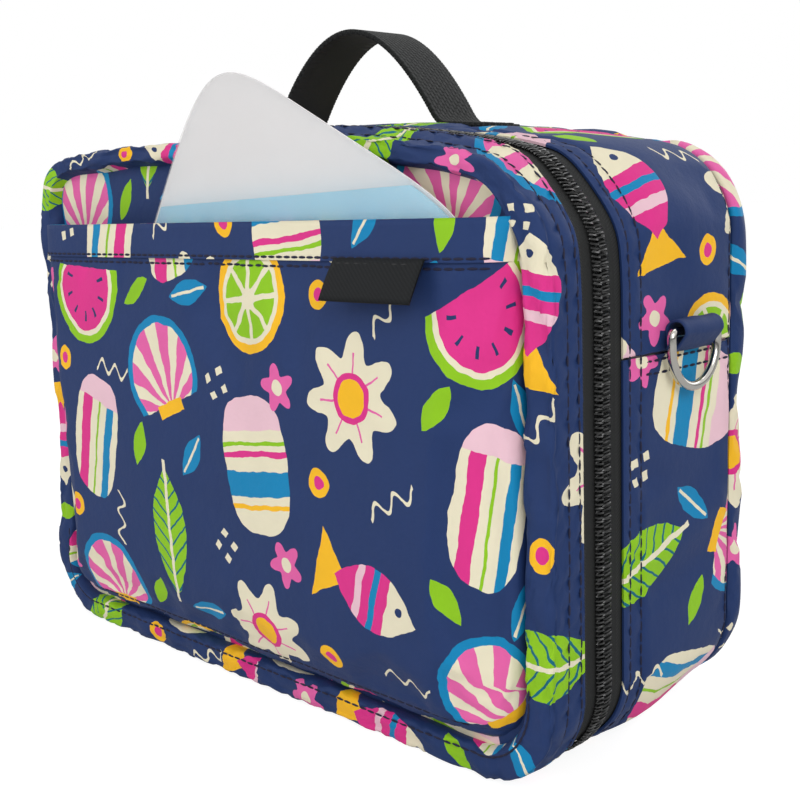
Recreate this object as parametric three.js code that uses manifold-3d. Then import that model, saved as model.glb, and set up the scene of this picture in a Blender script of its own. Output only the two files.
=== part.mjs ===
// Insulated fabric case with a zipped lid, a gel pack in the lid's pocket and a webbing handle.
// Millimetres, +Z up. X runs across the front, Y from front to back, and the floor is Z = 0.

import * as THREE from 'three';
import { mergeVertices } from 'three/addons/utils/BufferGeometryUtils.js';
import Module from 'manifold-3d';

// Case
const caseWidth = 250;
const caseHeight = 186;
const caseDepth = 99;
const lidDepth = 23.5;
const crownRadius = 530;
const topCornerRadius = 28;
const bottomCornerRadius = 26;

// Layers of the walls
const clearance = 0.3;
const fabricThickness = 1;
const lidFoamThickness = 4;
const wallFoamThickness = 5;
const backFoamThickness = 4.7;
const liningThickness = 0.8;

// Padded rims at the front and back
const rimDepth = 8;
const rimWidth = 9;
const rimRounding = 2.5;

// Seam across each side of the case
const seamHeight = 117;

// Zip and fabric hinge
const tapeThickness = 0.7;
const tapeShown = 9.3;
const tapeSeam = 4.5;
const coilWidth = 2.6;
const zipGap = 1.4;
const hingeGap = 0.6;
const hingeMargin = 4;

// Zip sliders and pulls
const sliderLength = 11;
const sliderWidth = 10;
const sliderPlate = 1.2;
const sliderWebLength = 4;
const sliderWebThickness = 0.8;
const sliderSpacing = 1;
const slidersMeetX = -22;
const bridgeLength = 6.8;
const bridgeWidth = 1.6;
const bridgeBar = 1.2;
const bridgeWindow = 1.8;
const pullLength = 24;
const pullWidth = 7;
const pullThickness = 1.2;
const pullEyeLength = 4.4;
const pullEyeWidth = 3;

// Handle
const handleWidth = 25;
const handleThickness = 1.8;
const handleHalfSpan = 41;
const handleRise = 33.2;
const handleFromFront = 63;
const handleLean = 15;
const handleLeanMargin = 1;
const handlePadLength = 20;
const handlePadThickness = 1.6;

// D-rings and their tabs
const ringInnerWidth = 21.5;
const ringWire = 2.8;
const ringRounding = 0.8;
const ringStraight = 2.9;
const ringFromFront = 62.5;
const tabWidth = 20.4;
const tabDepth = 7.4;
const tabHeight = 9.5;
const tabSeamWidth = 2.4;

// Pocket on the lid
const pocketWidth = 226;
const pocketBottom = 10.5;
const pocketTop = 157;
const pocketCorner = 20;
const pocketThickness = 1.2;
const mouthBulge = 15;
const bellyBulge = 17;
const sideFullness = 20;
const bottomFullness = 14;
const hemHeight = 11.5;
const hemThickness = 0.8;

// Label on the pocket
const labelWidth = 35;
const labelHeight = 13;
const labelThickness = 0.8;
const labelFromSide = 20.3;
const labelOverHem = 0.7;
const labelTilt = 30;

// Gel pack
const packWidth = 142;
const packHeight = 156;
const packThickness = 5.6;
const packSquareness = 5;
const packSeal = 9;
const packFilm = 0.5;
const packRounding = 1.6;
const packRoundingWidth = 5;
const packTilt = 27;
const packCentreX = 19.4;
const packCentreZ = 111.6;
const gelLevel = 164;

// Inside fittings
const penLoopCount = 6;
const penLoopPitch = 30;
const penLoopRadius = 9.5;
const penBandThickness = 1.2;
const penBandHeight = 25;
const penBandBottom = 70;
const netWidth = 170;
const netBottom = 26;
const netHeight = 92;
const netThickness = 0.8;
const netBandHeight = 10;
const netBandThickness = 1.2;

// Fineness of the curves
const arcSegments = 4;
const pocketColumns = 26;
const pocketRows = 18;
const hemRows = 2;
const packSides = 48;
const handleSegments = 12;

// Places worked out from the sizes above
const halfWidth = caseWidth / 2;
const frontY = -caseDepth / 2;
const backY = caseDepth / 2;
const zipY = frontY + lidDepth;
const panelFrontY = frontY + rimDepth + clearance;
const panelBackY = panelFrontY + fabricThickness;
const backPanelBackY = backY - rimDepth - clearance;
const backPanelFrontY = backPanelBackY - fabricThickness;
const tapeOuter = fabricThickness + clearance;
const tapeInner = tapeOuter + tapeThickness;
const foamOuter = tapeInner + clearance;
const foamInner = foamOuter + wallFoamThickness;
const liningOuter = foamInner + clearance;
const liningInner = liningOuter + liningThickness;
const liningFrontY = zipY + sliderWidth / 2 + clearance;
const backFoamBackY = backPanelFrontY - clearance;
const backFoamFrontY = backFoamBackY - backFoamThickness;
const liningBackY = backFoamFrontY - clearance;
const crownCentreZ = caseHeight - crownRadius;
const topCornerX = halfWidth - topCornerRadius;
const topCornerZ = crownCentreZ + Math.sqrt((crownRadius - topCornerRadius) ** 2 - topCornerX ** 2);
const crownAngle = Math.atan2(topCornerZ - crownCentreZ, topCornerX);
const hingeBottom = bottomCornerRadius + hingeMargin;
const hingeTop = topCornerZ - hingeMargin;
const beyond = caseWidth + caseHeight + caseDepth;

const degrees = THREE.MathUtils.degToRad;
const wasm = await Module();
wasm.setup();

// Joins and cuts

function toSolid(geometry) {
  const plain = geometry.index ? geometry.toNonIndexed() : geometry.clone();
  plain.deleteAttribute('normal');
  plain.deleteAttribute('uv');
  const merged = mergeVertices(plain, 1e-4);
  return new wasm.Manifold(new wasm.Mesh({
    numProp: 3,
    vertProperties: new Float32Array(merged.attributes.position.array),
    triVerts: new Uint32Array(merged.index.array),
  }));
}

function toGeometry(solid) {
  const mesh = solid.getMesh();
  const geometry = new THREE.BufferGeometry();
  geometry.setAttribute('position', new THREE.BufferAttribute(new Float32Array(mesh.vertProperties), 3));
  geometry.setIndex(new THREE.BufferAttribute(new Uint32Array(mesh.triVerts), 1));
  geometry.computeVertexNormals();
  return geometry;
}

function join(...geometries) {
  return toGeometry(geometries.map(toSolid).reduce((whole, piece) => whole.add(piece)));
}

function cut(geometry, ...tools) {
  return toGeometry(tools.map(toSolid).reduce((whole, tool) => whole.subtract(tool), toSolid(geometry)));
}

// Basic shapes

function boxBetween(low, high) {
  const size = low.map((value, axis) => high[axis] - value);
  const centre = low.map((value, axis) => (high[axis] + value) / 2);
  return new THREE.BoxGeometry(...size).translate(...centre);
}

// A shape drawn in X and Z, given depth from y0 to y1
function extrudeAlongY(shape, y0, y1, rounding = 0, roundingWidth = rounding, segments = arcSegments) {
  const geometry = new THREE.ExtrudeGeometry(shape, {
    depth: y1 - y0 - 2 * rounding,
    curveSegments: segments,
    bevelEnabled: rounding > 0,
    bevelThickness: rounding,
    bevelSize: roundingWidth,
    bevelOffset: -roundingWidth,
    bevelSegments: 2,
  });
  return geometry.translate(0, 0, rounding).rotateX(Math.PI / 2).translate(0, y1, 0);
}

// A shape drawn in Y and Z, given depth from x0 to x1
function extrudeAlongX(shape, x0, x1, rounding = 0) {
  const geometry = new THREE.ExtrudeGeometry(shape, {
    depth: x1 - x0 - 2 * rounding,
    curveSegments: arcSegments,
    bevelEnabled: rounding > 0,
    bevelThickness: rounding,
    bevelSize: rounding,
    bevelOffset: -rounding,
    bevelSegments: 1,
  });
  const turn = new THREE.Matrix4().set(0, 0, 1, 0, 1, 0, 0, 0, 0, 1, 0, 0, 0, 0, 0, 1);
  return geometry.translate(0, 0, rounding).applyMatrix4(turn).translate(x0, 0, 0);
}

// The case seen from the front: flat base, upright sides and a crowned top
function caseOutline(inset, outline = new THREE.Shape()) {
  const bottomX = halfWidth - bottomCornerRadius;
  const bottomRadius = bottomCornerRadius - inset;
  const topRadius = topCornerRadius - inset;
  outline.absarc(bottomX, bottomCornerRadius, bottomRadius, -Math.PI / 2, 0);
  outline.absarc(topCornerX, topCornerZ, topRadius, 0, crownAngle);
  outline.absarc(0, crownCentreZ, crownRadius - inset, crownAngle, Math.PI - crownAngle);
  outline.absarc(-topCornerX, topCornerZ, topRadius, Math.PI - crownAngle, Math.PI);
  outline.absarc(-bottomX, bottomCornerRadius, bottomRadius, Math.PI, Math.PI * 1.5);
  outline.closePath();
  return outline;
}

function casePlate(inset, y0, y1) {
  return extrudeAlongY(caseOutline(inset), y0, y1);
}

function caseRing(outerInset, innerInset, y0, y1, rounding = 0) {
  const shape = caseOutline(outerInset);
  shape.holes.push(caseOutline(innerInset, new THREE.Path()));
  return extrudeAlongY(shape, y0, y1, rounding);
}

// A closed sheet between a front and a back surface, each a function of u and v from 0 to 1
function sheetBetween(front, back, columns, rows) {
  const positions = [];
  for (const surface of [front, back]) {
    for (let row = 0; row <= rows; row += 1) {
      for (let column = 0; column <= columns; column += 1) {
        positions.push(...surface(column / columns, row / rows));
      }
    }
  }
  const indices = [];
  const backStart = (columns + 1) * (rows + 1);
  const frontAt = (column, row) => row * (columns + 1) + column;
  const backAt = (column, row) => backStart + frontAt(column, row);
  const quad = (a, b, c, d) => indices.push(a, b, c, a, c, d);
  for (let row = 0; row < rows; row += 1) {
    for (let column = 0; column < columns; column += 1) {
      const next = column + 1;
      const above = row + 1;
      quad(frontAt(column, row), frontAt(next, row), frontAt(next, above), frontAt(column, above));
      quad(backAt(column, row), backAt(column, above), backAt(next, above), backAt(next, row));
    }
  }
  for (let column = 0; column < columns; column += 1) {
    quad(frontAt(column, 0), backAt(column, 0), backAt(column + 1, 0), frontAt(column + 1, 0));
    quad(frontAt(column, rows), frontAt(column + 1, rows), backAt(column + 1, rows), backAt(column, rows));
  }
  for (let row = 0; row < rows; row += 1) {
    quad(frontAt(0, row), frontAt(0, row + 1), backAt(0, row + 1), backAt(0, row));
    quad(frontAt(columns, row), backAt(columns, row), backAt(columns, row + 1), frontAt(columns, row + 1));
  }
  const geometry = new THREE.BufferGeometry();
  geometry.setAttribute('position', new THREE.Float32BufferAttribute(positions, 3));
  geometry.setIndex(indices);
  geometry.computeVertexNormals();
  return geometry;
}

// Materials

const finish = (color, roughness, metalness = 0) => ({ color, roughness, metalness });
const printFinish = finish(0x27366b, 0.75);
const foamFinish = finish(0xd9d9d4, 0.9);
const liningFinish = finish(0xc9ced3, 0.3, 0.6);
const blackFinish = finish(0x17171a, 0.7);
const metalFinish = finish(0xc4c4c0, 0.2, 1);
const filmFinish = finish(0xdfe3ea, 0.3);
const gelFinish = finish(0x7ec4e3, 0.2);
const netFinish = finish(0x30363f, 0.8);

function addPiece(group, name, geometry, look) {
  const piece = new THREE.Mesh(geometry, new THREE.MeshStandardMaterial(look));
  piece.name = name;
  group.add(piece);
  return piece;
}

// Zip: tapes and coils run along the top, the right side and the bottom, and stop at the hinge

function withoutHingeSide(ring) {
  const low = [-halfWidth - beyond, -beyond, hingeBottom - clearance];
  const high = [-halfWidth + liningInner, beyond, hingeTop + clearance];
  return cut(ring, boxBetween(low, high));
}

function hingeLeaf(y0, y1) {
  return boxBetween([-halfWidth + tapeOuter, y0, hingeBottom], [-halfWidth + tapeInner, y1, hingeTop]);
}

// Rear shell

function liningTray() {
  const flange = caseRing(foamOuter, liningInner, liningFrontY, liningFrontY + liningThickness);
  const wall = caseRing(liningOuter, liningInner, liningFrontY, liningBackY);
  const back = casePlate(liningOuter, liningBackY - liningThickness, liningBackY);
  return join(flange, wall, back);
}

function penLoops(wallY) {
  const shape = new THREE.Shape();
  const half = (penLoopCount * penLoopPitch) / 2;
  shape.moveTo(-half, 0);
  shape.lineTo(half, 0);
  shape.lineTo(half, penBandThickness);
  for (let loop = penLoopCount - 1; loop >= 0; loop -= 1) {
    const x = (loop - (penLoopCount - 1) / 2) * penLoopPitch;
    shape.absarc(x, penBandThickness, penLoopRadius, 0, Math.PI);
    const space = new THREE.Path();
    space.absarc(x, penBandThickness, penLoopRadius - penBandThickness, 0, Math.PI);
    space.closePath();
    shape.holes.push(space);
  }
  shape.lineTo(-half, penBandThickness);
  shape.closePath();
  const band = new THREE.ExtrudeGeometry(shape, {
    depth: penBandHeight,
    curveSegments: arcSegments,
    bevelEnabled: false,
  });
  return band.rotateZ(Math.PI).translate(0, wallY, penBandBottom);
}

// Folded tab, drawn for the right side: a tunnel along Y whose two ends are sewn into the side seam
function ringTab(side) {
  const tunnel = (inset, outline) => {
    const left = inset;
    const top = tabHeight - inset;
    const fold = (tabDepth - 2 * inset) / 2;
    outline.moveTo(left, inset);
    outline.lineTo(tabSeamWidth - inset / 2, inset);
    outline.lineTo(tabDepth - inset, top - fold);
    outline.absarc(tabDepth / 2, top - fold, fold, 0, Math.PI);
    outline.closePath();
    return outline;
  };
  const shape = tunnel(0, new THREE.Shape());
  shape.holes.push(tunnel(fabricThickness, new THREE.Path()));
  const y = frontY + ringFromFront;
  const tab = extrudeAlongY(shape, y - tabWidth / 2, y + tabWidth / 2);
  tab.translate(halfWidth + clearance, 0, seamHeight);
  return side > 0 ? tab : tab.rotateZ(Math.PI).translate(0, 2 * y, 0);
}

const rear = new THREE.Group();
addPiece(rear, 'back_panel', casePlate(0, backPanelFrontY, backPanelBackY), printFinish);
addPiece(rear, 'back_rim', caseRing(0, rimWidth, backY - rimDepth, backY, rimRounding), printFinish);

const rearGusset = caseRing(0, fabricThickness, zipY + tapeShown, backPanelFrontY - clearance);
const aboveSeam = boxBetween([-beyond, -beyond, seamHeight - clearance / 2], [beyond, beyond, beyond]);
const belowSeam = boxBetween([-beyond, -beyond, -beyond], [beyond, beyond, seamHeight + clearance / 2]);
addPiece(rear, 'rear_gusset_upper', cut(rearGusset, belowSeam), printFinish);
addPiece(rear, 'rear_gusset_lower', cut(rearGusset, aboveSeam), printFinish);

addPiece(rear, 'back_foam', casePlate(foamOuter, backFoamFrontY, backFoamBackY), foamFinish);
const wallFoamFrontY = liningFrontY + liningThickness + clearance;
addPiece(rear, 'wall_foam', caseRing(foamOuter, foamInner, wallFoamFrontY, liningBackY), foamFinish);
addPiece(rear, 'rear_lining', liningTray(), liningFinish);
addPiece(rear, 'pen_loop_band', penLoops(liningBackY - liningThickness - clearance), blackFinish);

const rearTapeBackY = zipY + tapeShown + tapeSeam;
const rearTape = caseRing(tapeOuter, tapeInner, zipY + zipGap / 2, rearTapeBackY);
const rearCoil = caseRing(0, fabricThickness, zipY + zipGap / 2, zipY + zipGap / 2 + coilWidth);
addPiece(rear, 'zip_tape_rear', withoutHingeSide(rearTape), blackFinish);
addPiece(rear, 'zip_coil_rear', withoutHingeSide(rearCoil), blackFinish);
addPiece(rear, 'hinge_leaf_rear', hingeLeaf(zipY + hingeGap / 2, rearTapeBackY), printFinish);
addPiece(rear, 'ring_tab_right', ringTab(1), printFinish);
addPiece(rear, 'ring_tab_left', ringTab(-1), printFinish);

// Handle: a parabola of webbing, its turned ends sewn flat on the crown

const handleY = frontY + handleFromFront;
const crownHeightAt = (x) => crownCentreZ + Math.sqrt(crownRadius ** 2 - x ** 2);
const handlePivotZ = crownHeightAt(handleHalfSpan) + 2 * clearance + handlePadThickness;

function handlePad(side) {
  const pad = boxBetween(
    [-handlePadLength / 2, handleY - handleWidth / 2, crownRadius + clearance],
    [handlePadLength / 2, handleY + handleWidth / 2, crownRadius + clearance + handlePadThickness],
  );
  const outward = handleHalfSpan + handlePadLength / 2 - 2 * handleThickness;
  const turned = new THREE.Group();
  turned.position.z = crownCentreZ;
  turned.rotation.y = side * Math.asin(outward / crownRadius);
  addPiece(turned, side > 0 ? 'handle_pad_right' : 'handle_pad_left', pad, blackFinish);
  return turned;
}

function handleLoop() {
  const shape = new THREE.Shape();
  const inner = handleHalfSpan - handleThickness;
  shape.moveTo(inner, 0);
  shape.lineTo(handleHalfSpan, 0);
  shape.quadraticCurveTo(0, 2 * handleRise, -handleHalfSpan, 0);
  shape.lineTo(-inner, 0);
  shape.quadraticCurveTo(0, 2 * (handleRise - handleThickness), inner, 0);
  const loop = extrudeAlongY(shape, -handleWidth / 2, handleWidth / 2, 0, 0, handleSegments);
  const reach = handleWidth;
  const wedge = (way) => {
    const lift = new THREE.Shape();
    lift.moveTo(0, 0);
    lift.lineTo(way * reach, reach * Math.tan(degrees(handleLean + handleLeanMargin)));
    lift.lineTo(way * reach, -reach);
    lift.lineTo(0, -reach);
    return extrudeAlongX(lift, -handleHalfSpan - reach, handleHalfSpan + reach);
  };
  return cut(loop, wedge(1), wedge(-1));
}

rear.add(handlePad(1), handlePad(-1));
const handle = new THREE.Group();
handle.position.set(0, handleY, handlePivotZ);
addPiece(handle, 'handle_strap', handleLoop(), blackFinish);

// D-rings hang with their straight bar inside the tabs

const ringBarX = halfWidth + clearance + tabDepth / 2;
const ringBarZ = seamHeight + tabHeight - tabDepth / 2;

function dRing() {
  const outline = (halfSpan, top, path) => {
    path.moveTo(halfSpan, top);
    path.lineTo(-halfSpan, top);
    path.absarc(0, -ringWire / 2 - ringStraight, halfSpan, Math.PI, 2 * Math.PI);
    path.closePath();
    return path;
  };
  const shape = outline(ringInnerWidth / 2 + ringWire, ringWire / 2, new THREE.Shape());
  shape.holes.push(outline(ringInnerWidth / 2, -ringWire / 2, new THREE.Path()));
  return extrudeAlongX(shape, -ringWire / 2, ringWire / 2, ringRounding);
}

const rings = new THREE.Group();
for (const [name, side] of [['d_ring_right', 1], ['d_ring_left', -1]]) {
  const ring = addPiece(rings, name, dRing(), metalFinish);
  ring.position.set(side * ringBarX, frontY + ringFromFront, ringBarZ);
}

// Zip sliders ride on the crown: each is drawn at its top and turned about the crown's centre

const bridgeHeight = crownRadius + clearance + sliderPlate;
const pullPivot = bridgeHeight + bridgeWindow / 2;

function sliderBody() {
  const halfLength = sliderLength / 2;
  const halfPlate = sliderWidth / 2;
  const outside = crownRadius + clearance;
  const inside = crownRadius - tapeInner - clearance;
  const post = (x0, x1) => boxBetween(
    [x0, -bridgeWidth / 2, bridgeHeight - sliderPlate / 2],
    [x1, bridgeWidth / 2, bridgeHeight + bridgeWindow + bridgeBar],
  );
  return join(
    boxBetween([-halfLength, -halfPlate, outside], [halfLength, halfPlate, outside + sliderPlate]),
    boxBetween([-halfLength, -halfPlate, inside - sliderPlate], [halfLength, halfPlate, inside]),
    boxBetween(
      [-sliderWebLength / 2, -sliderWebThickness / 2, inside - sliderPlate / 2],
      [sliderWebLength / 2, sliderWebThickness / 2, outside + sliderPlate / 2],
    ),
    post(-bridgeLength / 2, -bridgeLength / 2 + bridgeBar),
    post(bridgeLength / 2 - bridgeBar, bridgeLength / 2),
    boxBetween(
      [-bridgeLength / 2, -bridgeWidth / 2, bridgeHeight + bridgeWindow],
      [bridgeLength / 2, bridgeWidth / 2, bridgeHeight + bridgeWindow + bridgeBar],
    ),
  );
}

// The pull's end bar turns in the bridge's window, and its eye goes round the bridge's post
function sliderPull(way) {
  const halfBar = pullThickness / 2;
  const plate = boxBetween(
    [-halfBar, -pullWidth / 2, pullPivot - halfBar],
    [pullLength, pullWidth / 2, pullPivot + halfBar],
  );
  const eye = boxBetween(
    [halfBar, -pullEyeWidth / 2, pullPivot - pullThickness],
    [halfBar + pullEyeLength, pullEyeWidth / 2, pullPivot + pullThickness],
  );
  const pull = cut(plate, eye);
  return way > 0 ? pull : pull.rotateZ(Math.PI);
}

const sliders = new THREE.Group();
for (const [side, way] of [['left', -1], ['right', 1]]) {
  const x = slidersMeetX + (way * (sliderLength + sliderSpacing)) / 2;
  const onCrown = new THREE.Group();
  onCrown.position.set(0, zipY, crownCentreZ);
  onCrown.rotation.y = Math.asin(x / crownRadius);
  addPiece(onCrown, `zip_slider_${side}`, sliderBody(), blackFinish);
  addPiece(onCrown, `zip_pull_${side}`, sliderPull(way), blackFinish);
  sliders.add(onCrown);
}

// Front lid

const lid = new THREE.Group();
const lidInsideY = panelBackY + clearance;
const lidLiningFrontY = lidInsideY + lidFoamThickness + clearance;
const lidLiningBackY = lidLiningFrontY + liningThickness;
const frontTapeY = zipY - tapeShown - tapeSeam;
addPiece(lid, 'front_rim', caseRing(0, rimWidth, frontY, frontY + rimDepth, rimRounding), printFinish);
addPiece(lid, 'front_panel', casePlate(0, panelFrontY, panelBackY), printFinish);
addPiece(lid, 'front_gusset', caseRing(0, fabricThickness, lidInsideY, zipY - tapeShown), printFinish);
addPiece(lid, 'front_foam', casePlate(foamOuter, lidInsideY, lidInsideY + lidFoamThickness), foamFinish);
addPiece(lid, 'front_lining', casePlate(foamOuter, lidLiningFrontY, lidLiningBackY), liningFinish);

const frontTape = caseRing(tapeOuter, tapeInner, frontTapeY, zipY - zipGap / 2);
const frontCoil = caseRing(0, fabricThickness, zipY - zipGap / 2 - coilWidth, zipY - zipGap / 2);
addPiece(lid, 'zip_tape_front', withoutHingeSide(frontTape), blackFinish);
addPiece(lid, 'zip_coil_front', withoutHingeSide(frontCoil), blackFinish);
addPiece(lid, 'hinge_leaf_front', hingeLeaf(frontTapeY, zipY - hingeGap / 2), printFinish);

const netFrontY = lidLiningBackY + clearance;
const netTop = netBottom + netHeight;
const netPlate = boxBetween(
  [-netWidth / 2, netFrontY, netBottom],
  [netWidth / 2, netFrontY + netThickness, netTop],
);
const netBand = boxBetween(
  [-netWidth / 2, netFrontY, netTop + clearance],
  [netWidth / 2, netFrontY + netBandThickness, netTop + clearance + netBandHeight],
);
addPiece(lid, 'lid_net', netPlate, netFinish);
addPiece(lid, 'lid_net_band', netBand, blackFinish);

// Pocket: sewn to the panel along its sides and bottom, swelling forward to a mouth that is open at the top

function pocketHalfWidth(z) {
  const rise = Math.min((z - pocketBottom) / pocketCorner, 1);
  return pocketWidth / 2 - pocketCorner + pocketCorner * Math.sqrt(1 - (1 - rise) ** 2);
}

// Back surface of the pocket panel
function pocketY(x, z) {
  const across = x / pocketHalfWidth(z);
  const up = (z - pocketBottom) / (pocketTop - pocketBottom);
  const bulge = mouthBulge + (bellyBulge - mouthBulge) * 4 * up * (1 - up);
  const sides = Math.sqrt(Math.max(1 - Math.abs(across) ** sideFullness, 0));
  const bottom = Math.sqrt(Math.max(1 - (1 - up) ** bottomFullness, 0));
  return panelFrontY - clearance - bulge * sides * bottom;
}

// Points are closer together towards the sides and the bottom, where the cloth turns back
function pocketSheet(bottomZ, rows, depthFront, depthBack) {
  const surface = (depth) => (u, v) => {
    const z = bottomZ + (pocketTop - bottomZ) * (1 - Math.cos((v * Math.PI) / 2));
    const x = -pocketHalfWidth(z) * Math.cos(u * Math.PI);
    return [x, pocketY(x, z) - depth, z];
  };
  return sheetBetween(surface(depthFront), surface(depthBack), pocketColumns, rows);
}

const hemBack = pocketThickness + clearance;
addPiece(lid, 'pocket_panel', pocketSheet(pocketBottom, pocketRows, pocketThickness, 0), printFinish);
const hemSheet = pocketSheet(pocketTop - hemHeight, hemRows, hemBack + hemThickness, hemBack);
addPiece(lid, 'pocket_hem', hemSheet, printFinish);

// Label: sewn by its top edge over the lower edge of the hem, its free edge standing out

const labelTopZ = pocketTop - hemHeight + labelOverHem;
const labelCentreX = pocketWidth / 2 - labelFromSide - labelWidth / 2;
const labelEdgeX = labelCentreX - labelWidth / 2;
const labelPivotY = pocketY(labelEdgeX, labelTopZ) - hemBack - hemThickness - clearance;
const label = new THREE.Group();
label.position.set(labelCentreX, labelPivotY, labelTopZ);
label.rotation.x = -degrees(labelTilt);
const labelPlate = boxBetween([-labelWidth / 2, -labelThickness, -labelHeight], [labelWidth / 2, 0, 0]);
addPiece(label, 'label_tab', labelPlate, blackFinish);

// Gel pack: two sealed films with gel between them, standing askew in the pocket

function packOutline(inset) {
  const points = [];
  const power = 2 / packSquareness;
  for (let step = 0; step < packSides; step += 1) {
    const angle = (step / packSides) * 2 * Math.PI;
    const cosine = Math.cos(angle);
    const sine = Math.sin(angle);
    points.push(new THREE.Vector2(
      (packWidth / 2 - inset) * Math.sign(cosine) * Math.abs(cosine) ** power,
      (packHeight / 2 - inset) * Math.sign(sine) * Math.abs(sine) ** power,
    ));
  }
  return new THREE.Shape(points);
}

function packBody(inset, thickness) {
  return extrudeAlongY(packOutline(inset), -thickness / 2, thickness / 2, packRounding, packRoundingWidth);
}

const sealHalf = clearance / 2 + packFilm;
const envelope = cut(
  join(packBody(packSeal, packThickness), extrudeAlongY(packOutline(0), -sealHalf, sealHalf)),
  packBody(packSeal + packFilm, packThickness - 2 * packFilm),
);
const frontHalf = boxBetween([-beyond, -beyond, -beyond], [beyond, clearance / 2, beyond]);
const rearHalf = boxBetween([-beyond, -clearance / 2, -beyond], [beyond, beyond, beyond]);
const gelInset = packSeal + packFilm + clearance;
const aboveLevel = boxBetween([-beyond, -beyond, gelLevel - packCentreZ], [beyond, beyond, beyond]);
aboveLevel.rotateY(-degrees(packTilt));
const gel = cut(packBody(gelInset, packThickness - 2 * (packFilm + clearance)), aboveLevel);

const pack = new THREE.Group();
pack.position.set(packCentreX, frontY - clearance - packThickness / 2, packCentreZ);
pack.rotation.y = degrees(packTilt);
addPiece(pack, 'pack_film_front', cut(envelope, rearHalf), filmFinish);
addPiece(pack, 'pack_film_rear', cut(envelope, frontHalf), filmFinish);
addPiece(pack, 'pack_gel', gel, gelFinish);

const coolingCase = new THREE.Group();
coolingCase.add(rear, handle, rings, sliders, lid, label, pack);
export default coolingCase;
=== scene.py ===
import math

import bmesh
import bpy
from mathutils import Matrix, Vector, noise
from mathutils.bvhtree import BVHTree


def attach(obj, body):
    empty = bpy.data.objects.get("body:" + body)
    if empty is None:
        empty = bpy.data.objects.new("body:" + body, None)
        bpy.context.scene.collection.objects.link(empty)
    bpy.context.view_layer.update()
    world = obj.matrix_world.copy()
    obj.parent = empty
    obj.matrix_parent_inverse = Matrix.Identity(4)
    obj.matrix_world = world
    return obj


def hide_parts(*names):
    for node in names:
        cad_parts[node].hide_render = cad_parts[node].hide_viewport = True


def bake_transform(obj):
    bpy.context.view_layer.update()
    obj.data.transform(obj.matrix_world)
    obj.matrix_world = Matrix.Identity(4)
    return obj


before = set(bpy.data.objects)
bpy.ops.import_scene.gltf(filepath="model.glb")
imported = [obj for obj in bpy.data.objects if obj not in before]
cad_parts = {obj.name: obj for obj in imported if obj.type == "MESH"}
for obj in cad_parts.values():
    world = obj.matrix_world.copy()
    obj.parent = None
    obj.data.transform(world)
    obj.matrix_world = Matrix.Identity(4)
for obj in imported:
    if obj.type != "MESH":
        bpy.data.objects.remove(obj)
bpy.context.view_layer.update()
scene = bpy.context.scene
mm = 0.001  # lengths below are millimetres
print("frame loaded,", len(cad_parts), "nodes")


# the case seen from the front, as legs of one closed line that starts under its middle
case = dict(
    halfWidth=125, crownTop=186, crownRadius=530, topCorner=28, bottomCorner=26, middle=92,
    back=49.5, zipLine=-26, seam=117, hingeLow=30, hingeMargin=4,
)
crownZ = case["crownTop"] - case["crownRadius"]
bottomX = case["halfWidth"] - case["bottomCorner"]
topX = case["halfWidth"] - case["topCorner"]
topZ = crownZ + math.sqrt((case["crownRadius"] - case["topCorner"]) ** 2 - topX ** 2)
crownTilt = math.atan2(topZ - crownZ, topX)
sideRun = topZ - case["bottomCorner"]


def straight(length, steps):
    return dict(length=length, radius=0, steps=steps)


def corner(radius, angle, steps):
    return dict(length=radius * angle, radius=radius, steps=steps)


railLegs = [
    straight(bottomX, 36),
    corner(case["bottomCorner"], math.pi / 2, 18),
    straight(sideRun, 46),
    corner(case["topCorner"], crownTilt, 18),
    corner(case["crownRadius"], math.pi - 2 * crownTilt, 72),
    corner(case["topCorner"], crownTilt, 18),
    straight(sideRun, 46),
    corner(case["bottomCorner"], math.pi / 2, 18),
    straight(bottomX, 36),
]


def goAlong(leg, distance):
    x, z, heading, radius = leg["x"], leg["z"], leg["heading"], leg["radius"]
    if radius == 0:
        return x + distance * math.cos(heading), z + distance * math.sin(heading), heading
    turned = heading + distance / radius
    return (
        x + radius * (math.sin(turned) - math.sin(heading)),
        z + radius * (math.cos(heading) - math.cos(turned)),
        turned,
    )


railLength = 0
place = (0, 0, 0)
for leg in railLegs:
    leg["x"], leg["z"], leg["heading"] = place
    leg["start"] = railLength
    place = goAlong(leg, leg["length"])
    railLength += leg["length"]

rightSeam = railLegs[2]["start"] + case["seam"] - case["bottomCorner"]
leftSeam = railLegs[6]["start"] + topZ - case["seam"]
hingeTop = railLegs[6]["start"] + case["hingeMargin"]
hingeBottom = railLegs[6]["start"] + topZ - case["hingeLow"]
leftCornerMiddle = railLegs[5]["start"] + railLegs[5]["length"] / 2
rightCornerMiddle = railLegs[3]["start"] + railLegs[3]["length"] / 2


def railAt(along):
    along %= railLength
    for leg in reversed(railLegs):
        if along >= leg["start"]:
            return goAlong(leg, along - leg["start"])


def smoothStep(value, low, high):
    share = min(1, max(0, (value - low) / (high - low)))
    return share * share * (3 - 2 * share)


# the worn cloth stands off that line: a lifted left corner, a sagging lip, a spread foot, a cut right corner
droop = dict(
    cornerLift=6.8, liftReach=45, cornerPush=2.4, pushReach=15, cornerDepth=(4, 18),
    lipSag=3.2, sagFrom=-36.5, sagReach=8, sagHeight=(150, 180), sagAcross=(-70, -10),
    footReach=46, footLeft=5, footSide=-50, footForward=2.5, footRear=5.2, footRearFrom=8,
    cornerCut=4, cutReach=17, cutDepth=(-18, 10), cutAcross=0.8, cutDown=0.6,
)


def bell(distance, reach):
    return math.exp(-(distance / reach) ** 2)


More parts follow.
